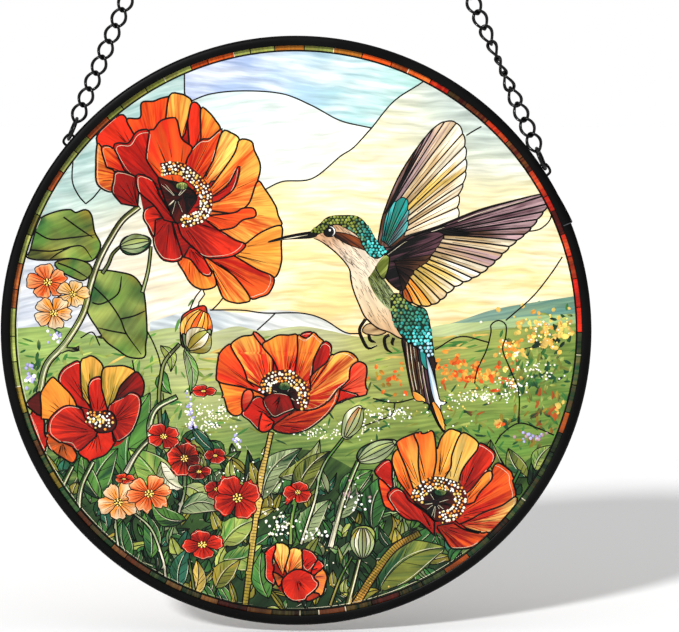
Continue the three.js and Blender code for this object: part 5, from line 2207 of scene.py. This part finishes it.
@dataclass
class Network:
    """Triangles over the disc, each with the pane that owns it."""

    points: np.ndarray
    triangles: np.ndarray
    owners: np.ndarray
    least_width: float = 0.42
    least_area: float = 7.0

    def borders(self) -> tuple[np.ndarray, np.ndarray]:
        """The edges that two triangles share.

        Returns:
            Each edge's two points, and its two triangles.
        """
        sides = np.vstack([self.triangles[:, [0, 1]], self.triangles[:, [1, 2]], self.triangles[:, [2, 0]]])
        holder = np.tile(np.arange(len(self.triangles)), 3)
        sides.sort(axis=1)
        order = np.lexsort((sides[:, 1], sides[:, 0]))
        sides, holder = sides[order], holder[order]
        twin = np.flatnonzero(np.all(sides[1:] == sides[:-1], axis=1))
        return sides[twin], np.stack([holder[twin], holder[twin + 1]], axis=1)

    def rim_edges(self) -> np.ndarray:
        """The directed edges that only one triangle has."""
        sides = np.vstack([self.triangles[:, [0, 1]], self.triangles[:, [1, 2]], self.triangles[:, [2, 0]]])
        keys = np.sort(sides, axis=1) @ np.array([len(self.points), 1])
        _, first, count = np.unique(keys, return_index=True, return_counts=True)
        return sides[first[count == 1]]

    def absorb_slivers(self) -> None:
        """Gives each thin scrap of a pane to the neighbour that it borders most."""
        edges, pairs = self.borders()
        length = np.linalg.norm(self.points[edges[:, 0]] - self.points[edges[:, 1]], axis=1)
        corner = self.points[self.triangles]
        side_a, side_b = corner[:, 1] - corner[:, 0], corner[:, 2] - corner[:, 0]
        area = np.abs(side_a[:, 0] * side_b[:, 1] - side_a[:, 1] * side_b[:, 0]) / 2
        for _ in range(2):
            group = self._groups(pairs)
            size = np.bincount(group, area)
            one, two = group[pairs[:, 0]], group[pairs[:, 1]]
            parted = one != two
            total = np.bincount(one[parted], length[parted], len(size)) \
                + np.bincount(two[parted], length[parted], len(size))
            thin = (size < self.least_area) & (size < self.least_width * total / 2)
            shared: dict[int, dict[int, float]] = {}
            for a, b, run in zip(one[parted], two[parted], length[parted]):
                for scrap, other in ((a, b), (b, a)):
                    if thin[scrap] and not thin[other]:
                        found = shared.setdefault(int(scrap), {})
                        found[int(other)] = found.get(int(other), 0.0) + run
            owner_of = np.zeros(len(size), int)
            owner_of[group] = self.owners
            for scrap, others in shared.items():
                owner_of[scrap] = owner_of[max(others, key=others.get)]
            self.owners = owner_of[group]

    def _groups(self, pairs: np.ndarray) -> np.ndarray:
        """Numbers the connected areas of one pane.

        Args:
            pairs: The triangles on the two sides of each shared edge.

        Returns:
            Each triangle's area number.
        """
        parent = list(range(len(self.triangles)))

        def root(item: int) -> int:
            """Finds an item's representative."""
            while parent[item] != item:
                parent[item] = parent[parent[item]]
                item = parent[item]
            return item

        for a, b in pairs[self.owners[pairs[:, 0]] == self.owners[pairs[:, 1]]].tolist():
            first, second = root(a), root(b)
            if first != second:
                parent[first] = second
        roots = np.array([root(item) for item in range(len(parent))])
        return np.unique(roots, return_inverse=True)[1]


@dataclass
class PicturePanel:
    """The clear panel with its painted picture, raised lines and enamel dots, on both faces."""

    centre: np.ndarray
    radius: float
    half_thickness: float
    grid_step: float = 2.1
    wall_steps: int = 300
    weld: float = 0.02
    lead_flatness: float = 0.55
    ink_flatness: float = 0.7
    dot_flatness: float = 0.35
    dot_sides: int = 7
    outline_margin: float = 3.0
    grid_jitter: float = 0.3
    ink_reach: float = 98.0
    edge_tint: tuple[float, float, float, float] = (0.02, 0.02, 0.02, 1.0)

    def build(self) -> None:
        """Draws the picture and makes the panel's pieces."""
        picture = draw_picture()
        LOG.info("picture: %d panes, %d lines, %d dots", len(picture.cells), len(picture.strokes),
                 len(picture.dots))
        network = self._triangulate(picture.cells)
        network.absorb_slivers()
        panel = self._paint(network, picture.cells)
        panel.materials.append(PaintedGlass().make())
        new_piece("painted_panel", panel, "picture_glass", "picture_panel")
        lead, dot, pale = LeadLine().make(), EnamelDot().make(), PaleLine().make()
        lead_runs = self._lead_runs(network, picture.cells)
        ink_runs = self._ink_runs(picture, pale=False)
        pale_runs = self._ink_runs(picture, pale=True)
        for side in ("front", "back"):
            self._lines(f"lead_lines_{side}", lead_runs, 6, self.lead_flatness, lead, side)
            self._lines(f"ink_lines_{side}", ink_runs, 4, self.ink_flatness, lead, side)
            self._lines(f"pale_lines_{side}", pale_runs, 4, self.ink_flatness, pale, side)
            self._dots(f"enamel_dots_{side}", picture, dot, side)

    def _triangulate(self, cells: Sequence[Cell]) -> Network:
        """Cuts the disc along every pane's visible outline.

        Args:
            cells: The panes, back to front.

        Returns:
            The triangles and their owners.
        """
        outline_points = np.vstack([cell.outline for cell in cells])
        number = np.repeat(np.arange(len(cells)), [len(cell.outline) for cell in cells])
        shown = (top_cells(outline_points, cells) <= number) \
            & (np.linalg.norm(outline_points, axis=1) < self.radius + self.outline_margin)
        points, edges = [], []
        count = 0
        for k, cell in enumerate(cells):
            mask = shown[number == k]
            kept = mask | np.roll(mask, 1) | np.roll(mask, -1)
            size = len(cell.outline)
            points.append(cell.outline)
            for i in np.flatnonzero(kept & np.roll(kept, -1)):
                edges.append((count + int(i), count + int((i + 1) % size)))
            count += size
        used = np.zeros(count, bool)
        used[np.array(edges).ravel()] = True
        renumber = np.cumsum(used) - 1
        points = [np.vstack(points)[used]]
        edges = [(int(renumber[a]), int(renumber[b])) for a, b in edges]
        count = int(used.sum())
        turns = np.linspace(0, 2 * math.pi, self.wall_steps, endpoint=False)
        wall = self.radius * np.stack([np.cos(turns), np.sin(turns)], axis=1)
        points.append(wall)
        edges += [(count + i, count + (i + 1) % self.wall_steps) for i in range(self.wall_steps)]
        points.append(self._grid())
        flat = [Vector(point) for point in np.vstack(points).tolist()]
        found, _, faces, *_ = delaunay_2d_cdt(flat, edges, [], 0, self.weld, False)
        places = np.array([tuple(point) for point in found])
        triangles = np.array([face for face in faces if len(face) == 3])
        middles = places[triangles].mean(axis=1)
        triangles = triangles[inside(middles, wall)]
        used_points, renumbered = np.unique(triangles, return_inverse=True)
        triangles = renumbered.reshape(-1, 3)
        places = places[used_points]
        network = Network(places, triangles, top_cells(places[triangles].mean(axis=1), cells))
        LOG.info("picture: %d triangles", len(triangles))
        return network

    def _grid(self) -> np.ndarray:
        """Loose points all over the disc, a little off a regular grid."""
        rng = np.random.default_rng(SEED)
        steps = np.arange(-self.radius, self.radius, self.grid_step)
        grid = np.stack(np.meshgrid(steps, steps), axis=-1).reshape(-1, 2)
        grid += rng.uniform(-self.grid_jitter, self.grid_jitter, grid.shape) * self.grid_step
        return grid[np.linalg.norm(grid, axis=1) < self.radius - 1]

    def _paint(self, network: Network, cells: Sequence[Cell]) -> bpy.types.Mesh:
        """Makes the closed slab and paints its two faces.

        Args:
            network: The triangles and their owners.
            cells: The panes.

        Returns:
            The panel's mesh.
        """
        flat, triangles = network.points, network.triangles
        count = len(flat)
        front = np.column_stack([flat[:, 0], np.full(count, -self.half_thickness), flat[:, 1]])
        back = front * (1, -1, 1)
        places = np.vstack([front, back]) * MM + self.centre
        wall = network.rim_edges()
        quads = np.column_stack([wall[:, 1], wall[:, 0], wall[:, 0] + count, wall[:, 1] + count])
        mesh = bpy.data.meshes.new("painted_panel")
        faces = triangles.tolist() + (triangles[:, ::-1] + count).tolist() + quads.tolist()
        mesh.from_pydata(places.tolist(), [], faces)
        tint = np.zeros((len(triangles), 3, 4))
        accent = np.zeros((len(triangles), 3, 4))
        grain = np.zeros((len(triangles), 3, 2))
        for number in np.unique(network.owners):
            mine = np.flatnonzero(network.owners == number)
            painted = cells[number].paint(flat[triangles[mine]].reshape(-1, 2))
            for store, values in zip((tint, accent, grain), painted):
                store[mine] = values.reshape(len(mine), 3, -1)
        side = np.zeros((len(quads) * 4, 4)) + self.edge_tint
        for name, values in (("tint", tint), ("accent", accent)):
            layer = mesh.color_attributes.new(name, "FLOAT_COLOR", "CORNER")
            both = np.vstack([values.reshape(-1, 4), values[:, ::-1].reshape(-1, 4), side])
            layer.data.foreach_set("color", np.clip(both, 0, 4).ravel())
        layer = mesh.uv_layers.new(name="grain")
        both = np.vstack([grain.reshape(-1, 2), grain[:, ::-1].reshape(-1, 2), side[:, :2]])
        layer.data.foreach_set("uv", both.ravel())
        return mesh

    def _lead_runs(self, network: Network, cells: Sequence[Cell]) -> list[Run]:
        """The edges between panes, gathered by the width of their line.

        Args:
            network: The triangles and their owners.
            cells: The panes.

        Returns:
            For each width its points, edges and point widths.
        """
        edges, pairs = network.borders()
        owners = network.owners[pairs]
        widths = np.array([cell.line for cell in cells])[owners.max(axis=1)]
        parted = (owners[:, 0] != owners[:, 1]) & (widths > 0)
        runs = []
        for width in np.unique(widths[parted]):
            used, numbered = np.unique(edges[parted & (widths == width)], return_inverse=True)
            runs.append((network.points[used], numbered.reshape(-1, 2), np.full(len(used), width)))
        return runs

    def _ink_runs(self, picture: Picture, pale: bool) -> list[Run]:
        """The parts of the drawn lines that nothing covers.

        Args:
            picture: The picture.
            pale: Whether the light lines are wanted, or the dark ones.

        Returns:
            For each line its points, edges and point widths.
        """
        strokes = [stroke for stroke in picture.strokes if stroke.pale == pale]
        points = np.vstack([stroke.path for stroke in strokes])
        layers = np.repeat([stroke.layer for stroke in strokes], [len(stroke.path) for stroke in strokes])
        within = np.linalg.norm(points, axis=1) < self.ink_reach
        seen = (top_cells(points, picture.cells) < layers) & within
        runs, start = [], 0
        for stroke in strokes:
            mask = seen[start:start + len(stroke.path)]
            start += len(stroke.path)
            steps = np.flatnonzero(mask[1:] & mask[:-1])
            if len(steps):
                runs.append((stroke.path, np.column_stack([steps, steps + 1]), stroke.widths()))
        return runs

    def _lines(self, name: str, runs: Sequence[Run], sides: int, flatness: float,
               material: bpy.types.Material, side: str) -> None:
        """Makes rounded beads along the runs on one face.

        Args:
            name: The piece's name.
            runs: The lines' points, edges and widths.
            sides: How many sides a bead's section has.
            flatness: The section's height over its width.
            material: The beads' finish.
            side: Which face they are on.
        """
        tree = GeometryTree(name, Sides=sides, Flatness=flatness)
        curve = tree.out("GeometryNodeMeshToCurve", {}, {0: tree.geometry})
        curve = tree.out("GeometryNodeSetCurveNormal", {"mode": "Z_UP"}, {0: curve})
        circle = tree.out("GeometryNodeCurvePrimitiveCircle", {}, {0: tree.size("Sides"), 4: 0.5})
        scale = tree.vector(1.0, tree.size("Flatness"), 1.0)
        section = tree.out("GeometryNodeTransform", {}, {0: circle, "Scale": scale})
        bead = tree.out("GeometryNodeCurveToMesh", {}, {0: curve, 1: section, 2: tree.named("width"),
                                                        3: True})
        tree.close(bead, material)
        source = bpy.data.meshes.new(name)
        offsets = np.cumsum([0] + [len(points) for points, _, _ in runs])
        points = np.vstack([np.column_stack([points, np.zeros(len(points))]) for points, _, _ in runs])
        edges = np.vstack([edges + offset for (_, edges, _), offset in zip(runs, offsets)])
        source.from_pydata(points.tolist(), edges.tolist(), [])
        layer = source.attributes.new("width", "FLOAT", "POINT")
        layer.data.foreach_set("value", np.concatenate([widths for _, _, widths in runs]))
        mesh = tree.run(source)
        self._onto_face(mesh, side)
        new_piece(name, mesh, "picture_glass")

    def _dots(self, name: str, picture: Picture, material: bpy.types.Material, side: str) -> None:
        """Makes the raised dots on one face.

        Args:
            name: The piece's name.
            picture: The picture.
            material: The dots' finish.
            side: Which face they are on.
        """
        places = np.array([dot.place for dot in picture.dots])
        seen = top_cells(places, picture.cells) < np.array([dot.layer for dot in picture.dots])
        dots = [dot for dot, shown in zip(picture.dots, seen) if shown]
        tree = GeometryTree(name, Sides=self.dot_sides, Flatness=self.dot_flatness)
        size = tree.named("size")
        ball = tree.out("GeometryNodeMeshUVSphere", {}, {0: tree.size("Sides"), 1: 4, 2: 1.0})
        scale = tree.vector(size, size, size * tree.size("Flatness"))
        placed = tree.out("GeometryNodeInstanceOnPoints", {}, {0: tree.geometry, 2: ball, 6: scale})
        tree.close(placed, material)
        source = bpy.data.meshes.new(name)
        source.from_pydata([(*dot.place, 0.0) for dot in dots], [], [])
        sizes = source.attributes.new("size", "FLOAT", "POINT")
        sizes.data.foreach_set("value", [dot.radius for dot in dots])
        tints = source.attributes.new("tint", "FLOAT_COLOR", "POINT")
        tints.data.foreach_set("color", np.array([(*dot.colour, 1.0) for dot in dots]).ravel())
        mesh = tree.run(source)
        self._onto_face(mesh, side)
        new_piece(name, mesh, "picture_glass")

    def _onto_face(self, mesh: bpy.types.Mesh, side: str) -> None:
        """Carries a flat mesh in millimetres onto a face of the panel.

        Args:
            mesh: The mesh, its height along Z.
            side: The face, front or back.
        """
        out = -1.0 if side == "front" else 1.0
        turn = np.array([[1, 0, 0], [0, 0, out], [0, 1, 0]]) * MM
        shift = self.centre + np.array([0, out * self.half_thickness * MM, 0])
        move_mesh(mesh, turn, shift, flip=side == "back")


# ---------------------------------------------------------------- the metalwork


def sweep(path: np.ndarray, radius: float, sides: int, closed: bool = False) -> tuple[np.ndarray, list]:
    """Sweeps a round section along a path that lies in one plane.

    Args:
        path: The path's points.
        radius: The section's radius.
        sides: How many sides it has.
        closed: Whether the path joins up; an open one gets flat ends.

    Returns:
        The points and the faces.
    """
    if closed:
        ahead = np.roll(path, -1, axis=0) - np.roll(path, 1, axis=0)
    else:
        ahead = np.gradient(path, axis=0)
    ahead /= np.linalg.norm(ahead, axis=1)[:, None]
    spread = path - path.mean(axis=0)
    flat = np.linalg.svd(spread, full_matrices=False)[2][2]
    across = np.cross(ahead, flat)
    turns = np.linspace(0, 2 * math.pi, sides, endpoint=False)
    ring = across[:, None] * np.cos(turns)[None, :, None] + flat * np.sin(turns)[None, :, None]
    points = (path[:, None] + radius * ring).reshape(-1, 3)
    count = len(path)
    faces = []
    for i in range(count if closed else count - 1):
        for k in range(sides):
            a, b = i * sides + k, i * sides + (k + 1) % sides
            c, d = (i + 1) % count * sides + (k + 1) % sides, (i + 1) % count * sides + k
            faces.append((a, b, c, d))
    if not closed:
        faces.append(tuple(range(sides))[::-1])
        faces.append(tuple((count - 1) * sides + k for k in range(sides)))
    return points, faces


def solid_mesh(name: str, parts: Sequence[tuple[np.ndarray, list]], material: bpy.types.Material,
               smooth_below: float = 40.0) -> bpy.types.Mesh:
    """Joins closed parts in one mesh, with faces out and soft edges smoothed.

    Args:
        name: The mesh's name.
        parts: Each part's points in metres and faces.
        material: Its finish.
        smooth_below: Edges flatter than this many degrees are shaded smooth.

    Returns:
        The mesh.
    """
    points, faces, start = [], [], 0
    for part_points, part_faces in parts:
        points.extend(part_points.tolist())
        faces.extend([tuple(start + k for k in face) for face in part_faces])
        start += len(part_points)
    mesh = bpy.data.meshes.new(name)
    mesh.from_pydata(points, [], faces)
    shape = bmesh.new()
    shape.from_mesh(mesh)
    bmesh.ops.recalc_face_normals(shape, faces=shape.faces)
    for face in shape.faces:
        face.smooth = True
    for edge in shape.edges:
        edge.smooth = edge.is_manifold and edge.calc_face_angle(0) < math.radians(smooth_below)
    shape.to_mesh(mesh)
    shape.free()
    mesh.materials.append(material)
    return mesh


def outward(degrees: float) -> np.ndarray:
    """The direction from the disc's centre that makes this angle with +X, seen from the front."""
    return np.array([math.cos(math.radians(degrees)), 0.0, math.sin(math.radians(degrees))])


def front_facing(up: np.ndarray) -> np.ndarray:
    """A turn whose local Y runs along `up` and whose local Z faces the front."""
    front = np.array([0.0, -1.0, 0.0])
    return np.column_stack([np.cross(up, front), up, front])


@dataclass
class Rim:
    """The rolled strip around the panel, its lapped joint and its two wire lugs, in millimetres."""

    centre: np.ndarray
    radius: float = 100.0
    face_width: float = 3.3
    half_depth: float = 3.0
    wall: float = 1.1
    chamfer: float = 0.7
    lip_round: float = 0.25
    steps: int = 240
    lap_start: float = 21.9
    lap_end: float = 27.5
    lap_rise: float = 0.6
    seam_degrees: float = 0.16
    lug_degrees: tuple[float, float] = (LEFT_LUG, RIGHT_LUG)
    lug_half_width: float = 2.1
    lug_height: float = 1.95
    lug_wire: float = 0.45
    lug_root: float = 0.55

    def build(self) -> None:
        """Makes the rim's piece."""
        parts = [self._ring(), self._lap()] + [self._lug(degrees) for degrees in self.lug_degrees]
        placed = [(points * MM + self.centre, faces) for points, faces in parts]
        new_piece("rolled_rim", solid_mesh("rolled_rim", placed, SatinEnamel().make(), 32.0), "rim_enamel",
                  "rim")
        # The lap seam's light grey is partly the strip's uncoated cut end and partly a painted highlight
        # where its edge catches the light.
        seam_edge_and_highlight = SatinEnamel("bare_edge", "4a4a4c", "8c8c8e").make()
        points, faces = self._seam()
        new_piece("lap_seam", solid_mesh("lap_seam", [(points * MM + self.centre, faces)], seam_edge_and_highlight),
                  "rim_enamel")

    def _section(self, rise: float = 0.0) -> np.ndarray:
        """The strip's U section as radius and depth.

        Args:
            rise: How far its outer skin stands off.

        Returns:
            The section's points.
        """
        lip, roof = self.radius - self.face_width, self.radius - self.wall
        half, inner = self.half_depth, self.half_depth - self.wall
        r, c, skin = self.lip_round, self.chamfer, self.radius + rise
        face = half + rise * 0.35
        upper = [(skin, face - c - 0.15), (skin - 0.06, face - c), (skin - c, face - 0.06),
                 (skin - c - 0.15, face), (lip + r, face), (lip + 0.07, face - 0.07), (lip, face - r),
                 (lip, inner + 0.1), (lip + 0.1, inner), (roof, inner)]
        return np.array(upper + [(radius, -depth) for radius, depth in reversed(upper)])

    def _ring(self) -> tuple[np.ndarray, list]:
        """The section spun about the disc's axis."""
        turns = np.linspace(0, 2 * math.pi, self.steps, endpoint=False)
        return self._spin(np.stack([self._section()] * self.steps), turns, closed=True)

    def _lap(self) -> tuple[np.ndarray, list]:
        """The strip's upper end, which rises over the other end and stops in a step."""
        turns = np.radians(np.linspace(self.lap_start, self.lap_end, 9))
        rises = np.linspace(self.lap_rise, 0.02, 9)
        sections = np.stack([self._section(rise) for rise in rises])
        return self._spin(sections, turns, closed=False)

    def _seam(self) -> tuple[np.ndarray, list]:
        """The cut end of the strip, a thin light grey edge across the face just below the step: partly its
        uncoated metal, partly a painted highlight.
        """
        turns = np.radians([self.lap_start - self.seam_degrees, self.lap_start])
        inner, outer = self.radius - self.face_width + 0.5, self.radius + self.lap_rise * 0.6
        face = self.half_depth - 0.1
        section = [(outer, face), (outer, face + 0.2), (inner, face + 0.2), (inner, face)]
        return self._spin(np.stack([[(r, -depth) for r, depth in section]] * 2), turns, closed=False)

    @staticmethod
    def _spin(sections: np.ndarray, turns: np.ndarray, closed: bool) -> tuple[np.ndarray, list]:
        """Lofts sections at angles about the disc's axis.

        Args:
            sections: Each angle's section.
            turns: The angles.
            closed: Whether the last joins the first.

        Returns:
            The points and the faces.
        """
        count, size = sections.shape[:2]
        radius, depth = sections[..., 0], sections[..., 1]
        points = np.stack([radius * np.cos(turns)[:, None], depth, radius * np.sin(turns)[:, None]], axis=-1)
        faces = []
        for i in range(count if closed else count - 1):
            for k in range(size):
                after, onward = (k + 1) % size, (i + 1) % count
                faces.append((i * size + k, i * size + after, onward * size + after, onward * size + k))
        if not closed:
            faces.append(tuple(range(size)))
            faces.append(tuple((count - 1) * size + k for k in range(size))[::-1])
        return points.reshape(-1, 3), faces

    def _lug(self, degrees: float) -> tuple[np.ndarray, list]:
        """Half a loop of wire with its feet sunk in the rim.

        Args:
            degrees: Where on the rim it stands.

        Returns:
            The points and the faces.
        """
        wide, top = self.lug_half_width, self.radius + self.lug_height
        knee = self.radius + self.lug_height * 0.75
        arch = smooth_path([(-wide, self.radius - self.lug_root), (-wide * 0.8, knee), (0, top),
                            (wide * 0.8, knee), (wide, self.radius - self.lug_root)], 0.3)
        path = np.column_stack([arch, np.zeros(len(arch))]) @ front_facing(outward(degrees)).T
        return sweep(path, self.lug_wire, 12)


@dataclass
class WireRing:
    """A ring of round wire, cut once so that it can be opened."""

    name: str
    centre: np.ndarray
    turn: np.ndarray
    radius: float
    wire: float
    replaced: str
    cut_degrees: float = 1.6
    cut_at: float = 60.0
    steps: int = 72
    sides: int = 16

    def build(self, material: bpy.types.Material) -> None:
        """Makes the ring's piece."""
        turns = np.radians(self.cut_at + np.linspace(self.cut_degrees / 2, 360 - self.cut_degrees / 2,
                                                     self.steps))
        flat = self.radius * np.column_stack([np.cos(turns), np.sin(turns), np.zeros(self.steps)])
        points, faces = sweep(flat @ self.turn.T, self.wire, self.sides)
        mesh = solid_mesh(self.name, [(points * MM + self.centre, faces)], material, 50.0)
        new_piece(self.name, mesh, "chain_wire", self.replaced)


def smoothstep(value: float, low: float, high: float) -> float:
    """A share that eases from 0 at low to 1 at high."""
    share = min(1.0, max(0.0, (value - low) / (high - low)))
    return share * share * (3 - 2 * share)


@dataclass
class CurbChain:
    """One hanging chain: twisted oval links of round wire from a lug's jump ring to the hanging ring."""

    side: str
    disc_centre: np.ndarray
    hang_centre: np.ndarray
    lug_degrees: float
    turn_degrees: float
    ring_turn: float
    pitch: float = 5.7
    wire: float = 0.55
    half_width: float = 2.3
    twist: float = 45.0
    bite: float = 0.14
    gap: float = 0.2
    turn_links: int = 10
    top_links: int = 5
    eye_radius: float = 100.75
    ring_radius: float = 3.85
    ring_wire: float = 0.5
    hang_radius: float = HANG_RADIUS
    hang_wire: float = HANG_WIRE
    path_steps: int = 30
    sides: int = 12

    def build(self, material: bpy.types.Material) -> None:
        """Makes the jump ring and the chain."""
        start = self.disc_centre + outward(self.lug_degrees) * self.eye_radius * MM
        run = self.hang_centre - start
        length = np.linalg.norm(run) / MM
        up = run / np.linalg.norm(run)
        edge_on = math.radians(90 + self.ring_turn)
        spin = np.array([[math.cos(edge_on), 0, math.sin(edge_on)], [0, 1, 0],
                         [-math.sin(edge_on), 0, math.cos(edge_on)]])
        WireRing(f"open_ring_{self.side}", start + up * self.ring_radius * MM, front_facing(up) @ spin,
                 self.ring_radius, self.ring_wire, f"jump_ring_{self.side}", 2.5, 40.0).build(material)
        half = self.pitch / 2 + self.wire - self.bite / 2
        first = 2 * self.ring_radius - (self.ring_wire + self.wire + self.gap) + half
        last = length - self.hang_radius + (self.hang_wire + self.wire + self.gap) - half
        count = round((last - first) / self.pitch) + 1
        places, facings = [], []
        for k in range(count):
            places.append(start + up * (first + (last - first) * k / (count - 1)) * MM)
            low = self.turn_degrees * smoothstep(k, 0, self.turn_links)
            top = (90 - self.twist) * smoothstep(k, count - 1 - self.top_links, count - 1)
            turn = math.radians(-(low + top))
            spin = np.array([[math.cos(turn), 0, math.sin(turn)], [0, 1, 0],
                             [-math.sin(turn), 0, math.cos(turn)]])
            facings.append(tuple(Matrix((front_facing(up) @ spin).tolist()).to_euler()))
        name = f"curb_chain_{self.side}"
        mesh = self._links(name, half, material, places, facings)
        new_piece(name, mesh, "chain_wire", f"chain_{self.side}")

    def _links(self, name: str, half: float, material: bpy.types.Material, places: Sequence[np.ndarray],
               facings: Sequence[Euler]) -> bpy.types.Mesh:
        """Sets one link at each place.

        Args:
            name: The tree's name.
            half: Half of a link's inner length plus its wire.
            material: The links' finish.
            places: The links' middles, in metres.
            facings: Their turns as Euler angles.

        Returns:
            The chain's mesh.
        """
        tree = GeometryTree(name, Wire=self.wire, HalfWidth=self.half_width, HalfLength=half,
                            Twist=math.radians(self.twist), Scale=MM)
        loop = tree.out("GeometryNodeCurvePrimitiveCircle", {}, {0: self.path_steps, 4: 1.0})
        section = tree.out("GeometryNodeCurvePrimitiveCircle", {}, {0: self.sides, 4: tree.size("Wire")})
        ring = tree.out("GeometryNodeCurveToMesh", {}, {0: loop, 1: section})
        apart = tree.node("ShaderNodeSeparateXYZ", {}, {0: tree.out("GeometryNodeInputPosition")})
        x, y, z = (Sock(tree, output) for output in apart.outputs)
        angle = tree.out("ShaderNodeMath", {"operation": "ARCTAN2"}, {0: y, 1: x})
        wide = x + (tree.size("HalfWidth") - 1.0) * angle.cos()
        tall = y + (tree.size("HalfLength") - 1.0) * angle.sin()
        twist = tall / tree.size("HalfLength") * tree.size("Twist")
        place = tree.vector(wide * twist.cos() - z * twist.sin(), tall, wide * twist.sin() + z * twist.cos())
        link = tree.out("GeometryNodeSetPosition", {}, {0: ring, 2: place})
        facing = tree.out("FunctionNodeEulerToRotation", {}, {0: tree.named("facing", "FLOAT_VECTOR")})
        scale = tree.vector(tree.size("Scale"), tree.size("Scale"), tree.size("Scale"))
        links = tree.out("GeometryNodeInstanceOnPoints", {}, {0: tree.geometry, 2: link, 5: facing,
                                                                  6: scale})
        tree.close(links, material)
        source = bpy.data.meshes.new(name)
        source.from_pydata([tuple(place) for place in places], [], [])
        layer = source.attributes.new("facing", "FLOAT_VECTOR", "POINT")
        layer.data.foreach_set("vector", np.array(facings).ravel())
        return tree.run(source)


# ---------------------------------------------------------------- the studio


@dataclass
class Studio:
    """The pale floor, the soft light and the camera."""

    disc_centre: np.ndarray
    floor_level: float
    view_width: float = 0.2302
    distance: float = 1.0
    aim: tuple[float, float] = (0.0147, 0.0054)
    elevation: float = 4.0
    floor_size: float = 60.0
    sun_strength: float = 3.6
    sun_turn: float = 24.0
    sun_height: float = 26.0
    sun_spread: float = 6.0
    low_sky: float = 0.25
    high_sky: float = 1.22
    backdrop: float = 1.0

    def build(self) -> None:
        """Sets the camera, the floor, the lights and the colour handling."""
        self._add_camera()
        self._add_floor()
        self._add_light()
        bpy.context.scene.view_settings.view_transform = "Standard"

    def _add_camera(self) -> None:
        """Places the camera straight in front of the disc."""
        data = bpy.data.cameras.new("camera")
        data.sensor_width = 36.0
        data.lens = data.sensor_width * self.distance / self.view_width
        data.clip_end = 200.0
        camera = bpy.data.objects.new("camera", data)
        target = self.disc_centre + np.array([self.aim[0], 0.0, self.aim[1]])
        tilt = math.radians(self.elevation)
        camera.location = target + self.distance * np.array([0.0, -math.cos(tilt), math.sin(tilt)])
        camera.rotation_euler = (math.radians(90) - tilt, 0.0, 0.0)
        bpy.context.scene.collection.objects.link(camera)
        bpy.context.scene.camera = camera

    def _add_floor(self) -> None:
        """Lays the floor under the disc."""
        half = self.floor_size / 2
        corners = [(-half, -half), (half, -half), (half, half), (-half, half)]
        mesh = bpy.data.meshes.new("floor")
        mesh.from_pydata([(x, y, self.floor_level) for x, y in corners], [], [(0, 1, 2, 3)])
        mesh.materials.append(StudioFloor().make())
        floor = bpy.data.objects.new("floor", mesh)
        bpy.context.scene.collection.objects.link(floor)

    def _add_light(self) -> None:
        """Adds the key light and the pale surroundings."""
        data = bpy.data.lights.new("key", "SUN")
        data.energy = self.sun_strength
        data.angle = math.radians(self.sun_spread)
        key = bpy.data.objects.new("key", data)
        key.rotation_euler = (math.radians(90 - self.sun_height), 0.0, math.radians(-self.sun_turn))
        bpy.context.scene.collection.objects.link(key)
        world = bpy.data.worlds.new("studio")
        world.use_nodes = True
        world.node_tree.nodes.clear()
        tree = Tree(world.node_tree)
        seen = tree.out("ShaderNodeLightPath", output="Is Camera Ray")
        ray = tree.node("ShaderNodeSeparateXYZ", {}, {0: tree.out("ShaderNodeTexCoord", output="Generated")})
        height = Sock(tree, ray.outputs[2]).clamped()
        light = self.low_sky + (self.high_sky - self.low_sky) * (height * height * height)
        strength = light + (self.backdrop - light) * seen
        sky = tree.out("ShaderNodeBackground", {}, {"Color": (1.0, 1.0, 1.0, 1.0), "Strength": strength})
        tree.node("ShaderNodeOutputWorld", {}, {"Surface": sky})
        bpy.context.scene.world = world


def main() -> None:
    """Builds the suncatcher around the frame."""
    logging.basicConfig(level=logging.INFO, format="%(name)s: %(message)s")
    low, high = (np.array(corner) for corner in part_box("picture_panel"))
    disc_centre = (low + high) / 2
    ring_low, ring_high = (np.array(corner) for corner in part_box("hanging_ring"))
    hang_centre = (ring_low + ring_high) / 2
    rim_low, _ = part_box("rim")
    Studio(disc_centre, rim_low[2] - FLOOR_DROP * MM).build()
    PicturePanel(disc_centre, (high[0] - low[0]) / 2 / MM, (high[1] - low[1]) / 2 / MM).build()
    Rim(disc_centre).build()
    wire = GlossWire().make()
    CurbChain("left", disc_centre, hang_centre, LEFT_LUG, 0.0, 10.0).build(wire)
    CurbChain("right", disc_centre, hang_centre, RIGHT_LUG, 180.0, -10.0).build(wire)
    flat_ring = np.array([[1.0, 0, 0], [0, 0, -1.0], [0, 1.0, 0]])
    WireRing("top_ring", hang_centre, flat_ring, HANG_RADIUS, HANG_WIRE, "hanging_ring", cut_degrees=1.2,
             cut_at=230.0, steps=96, sides=20).build(wire)


if __name__ == "__main__":
    main()
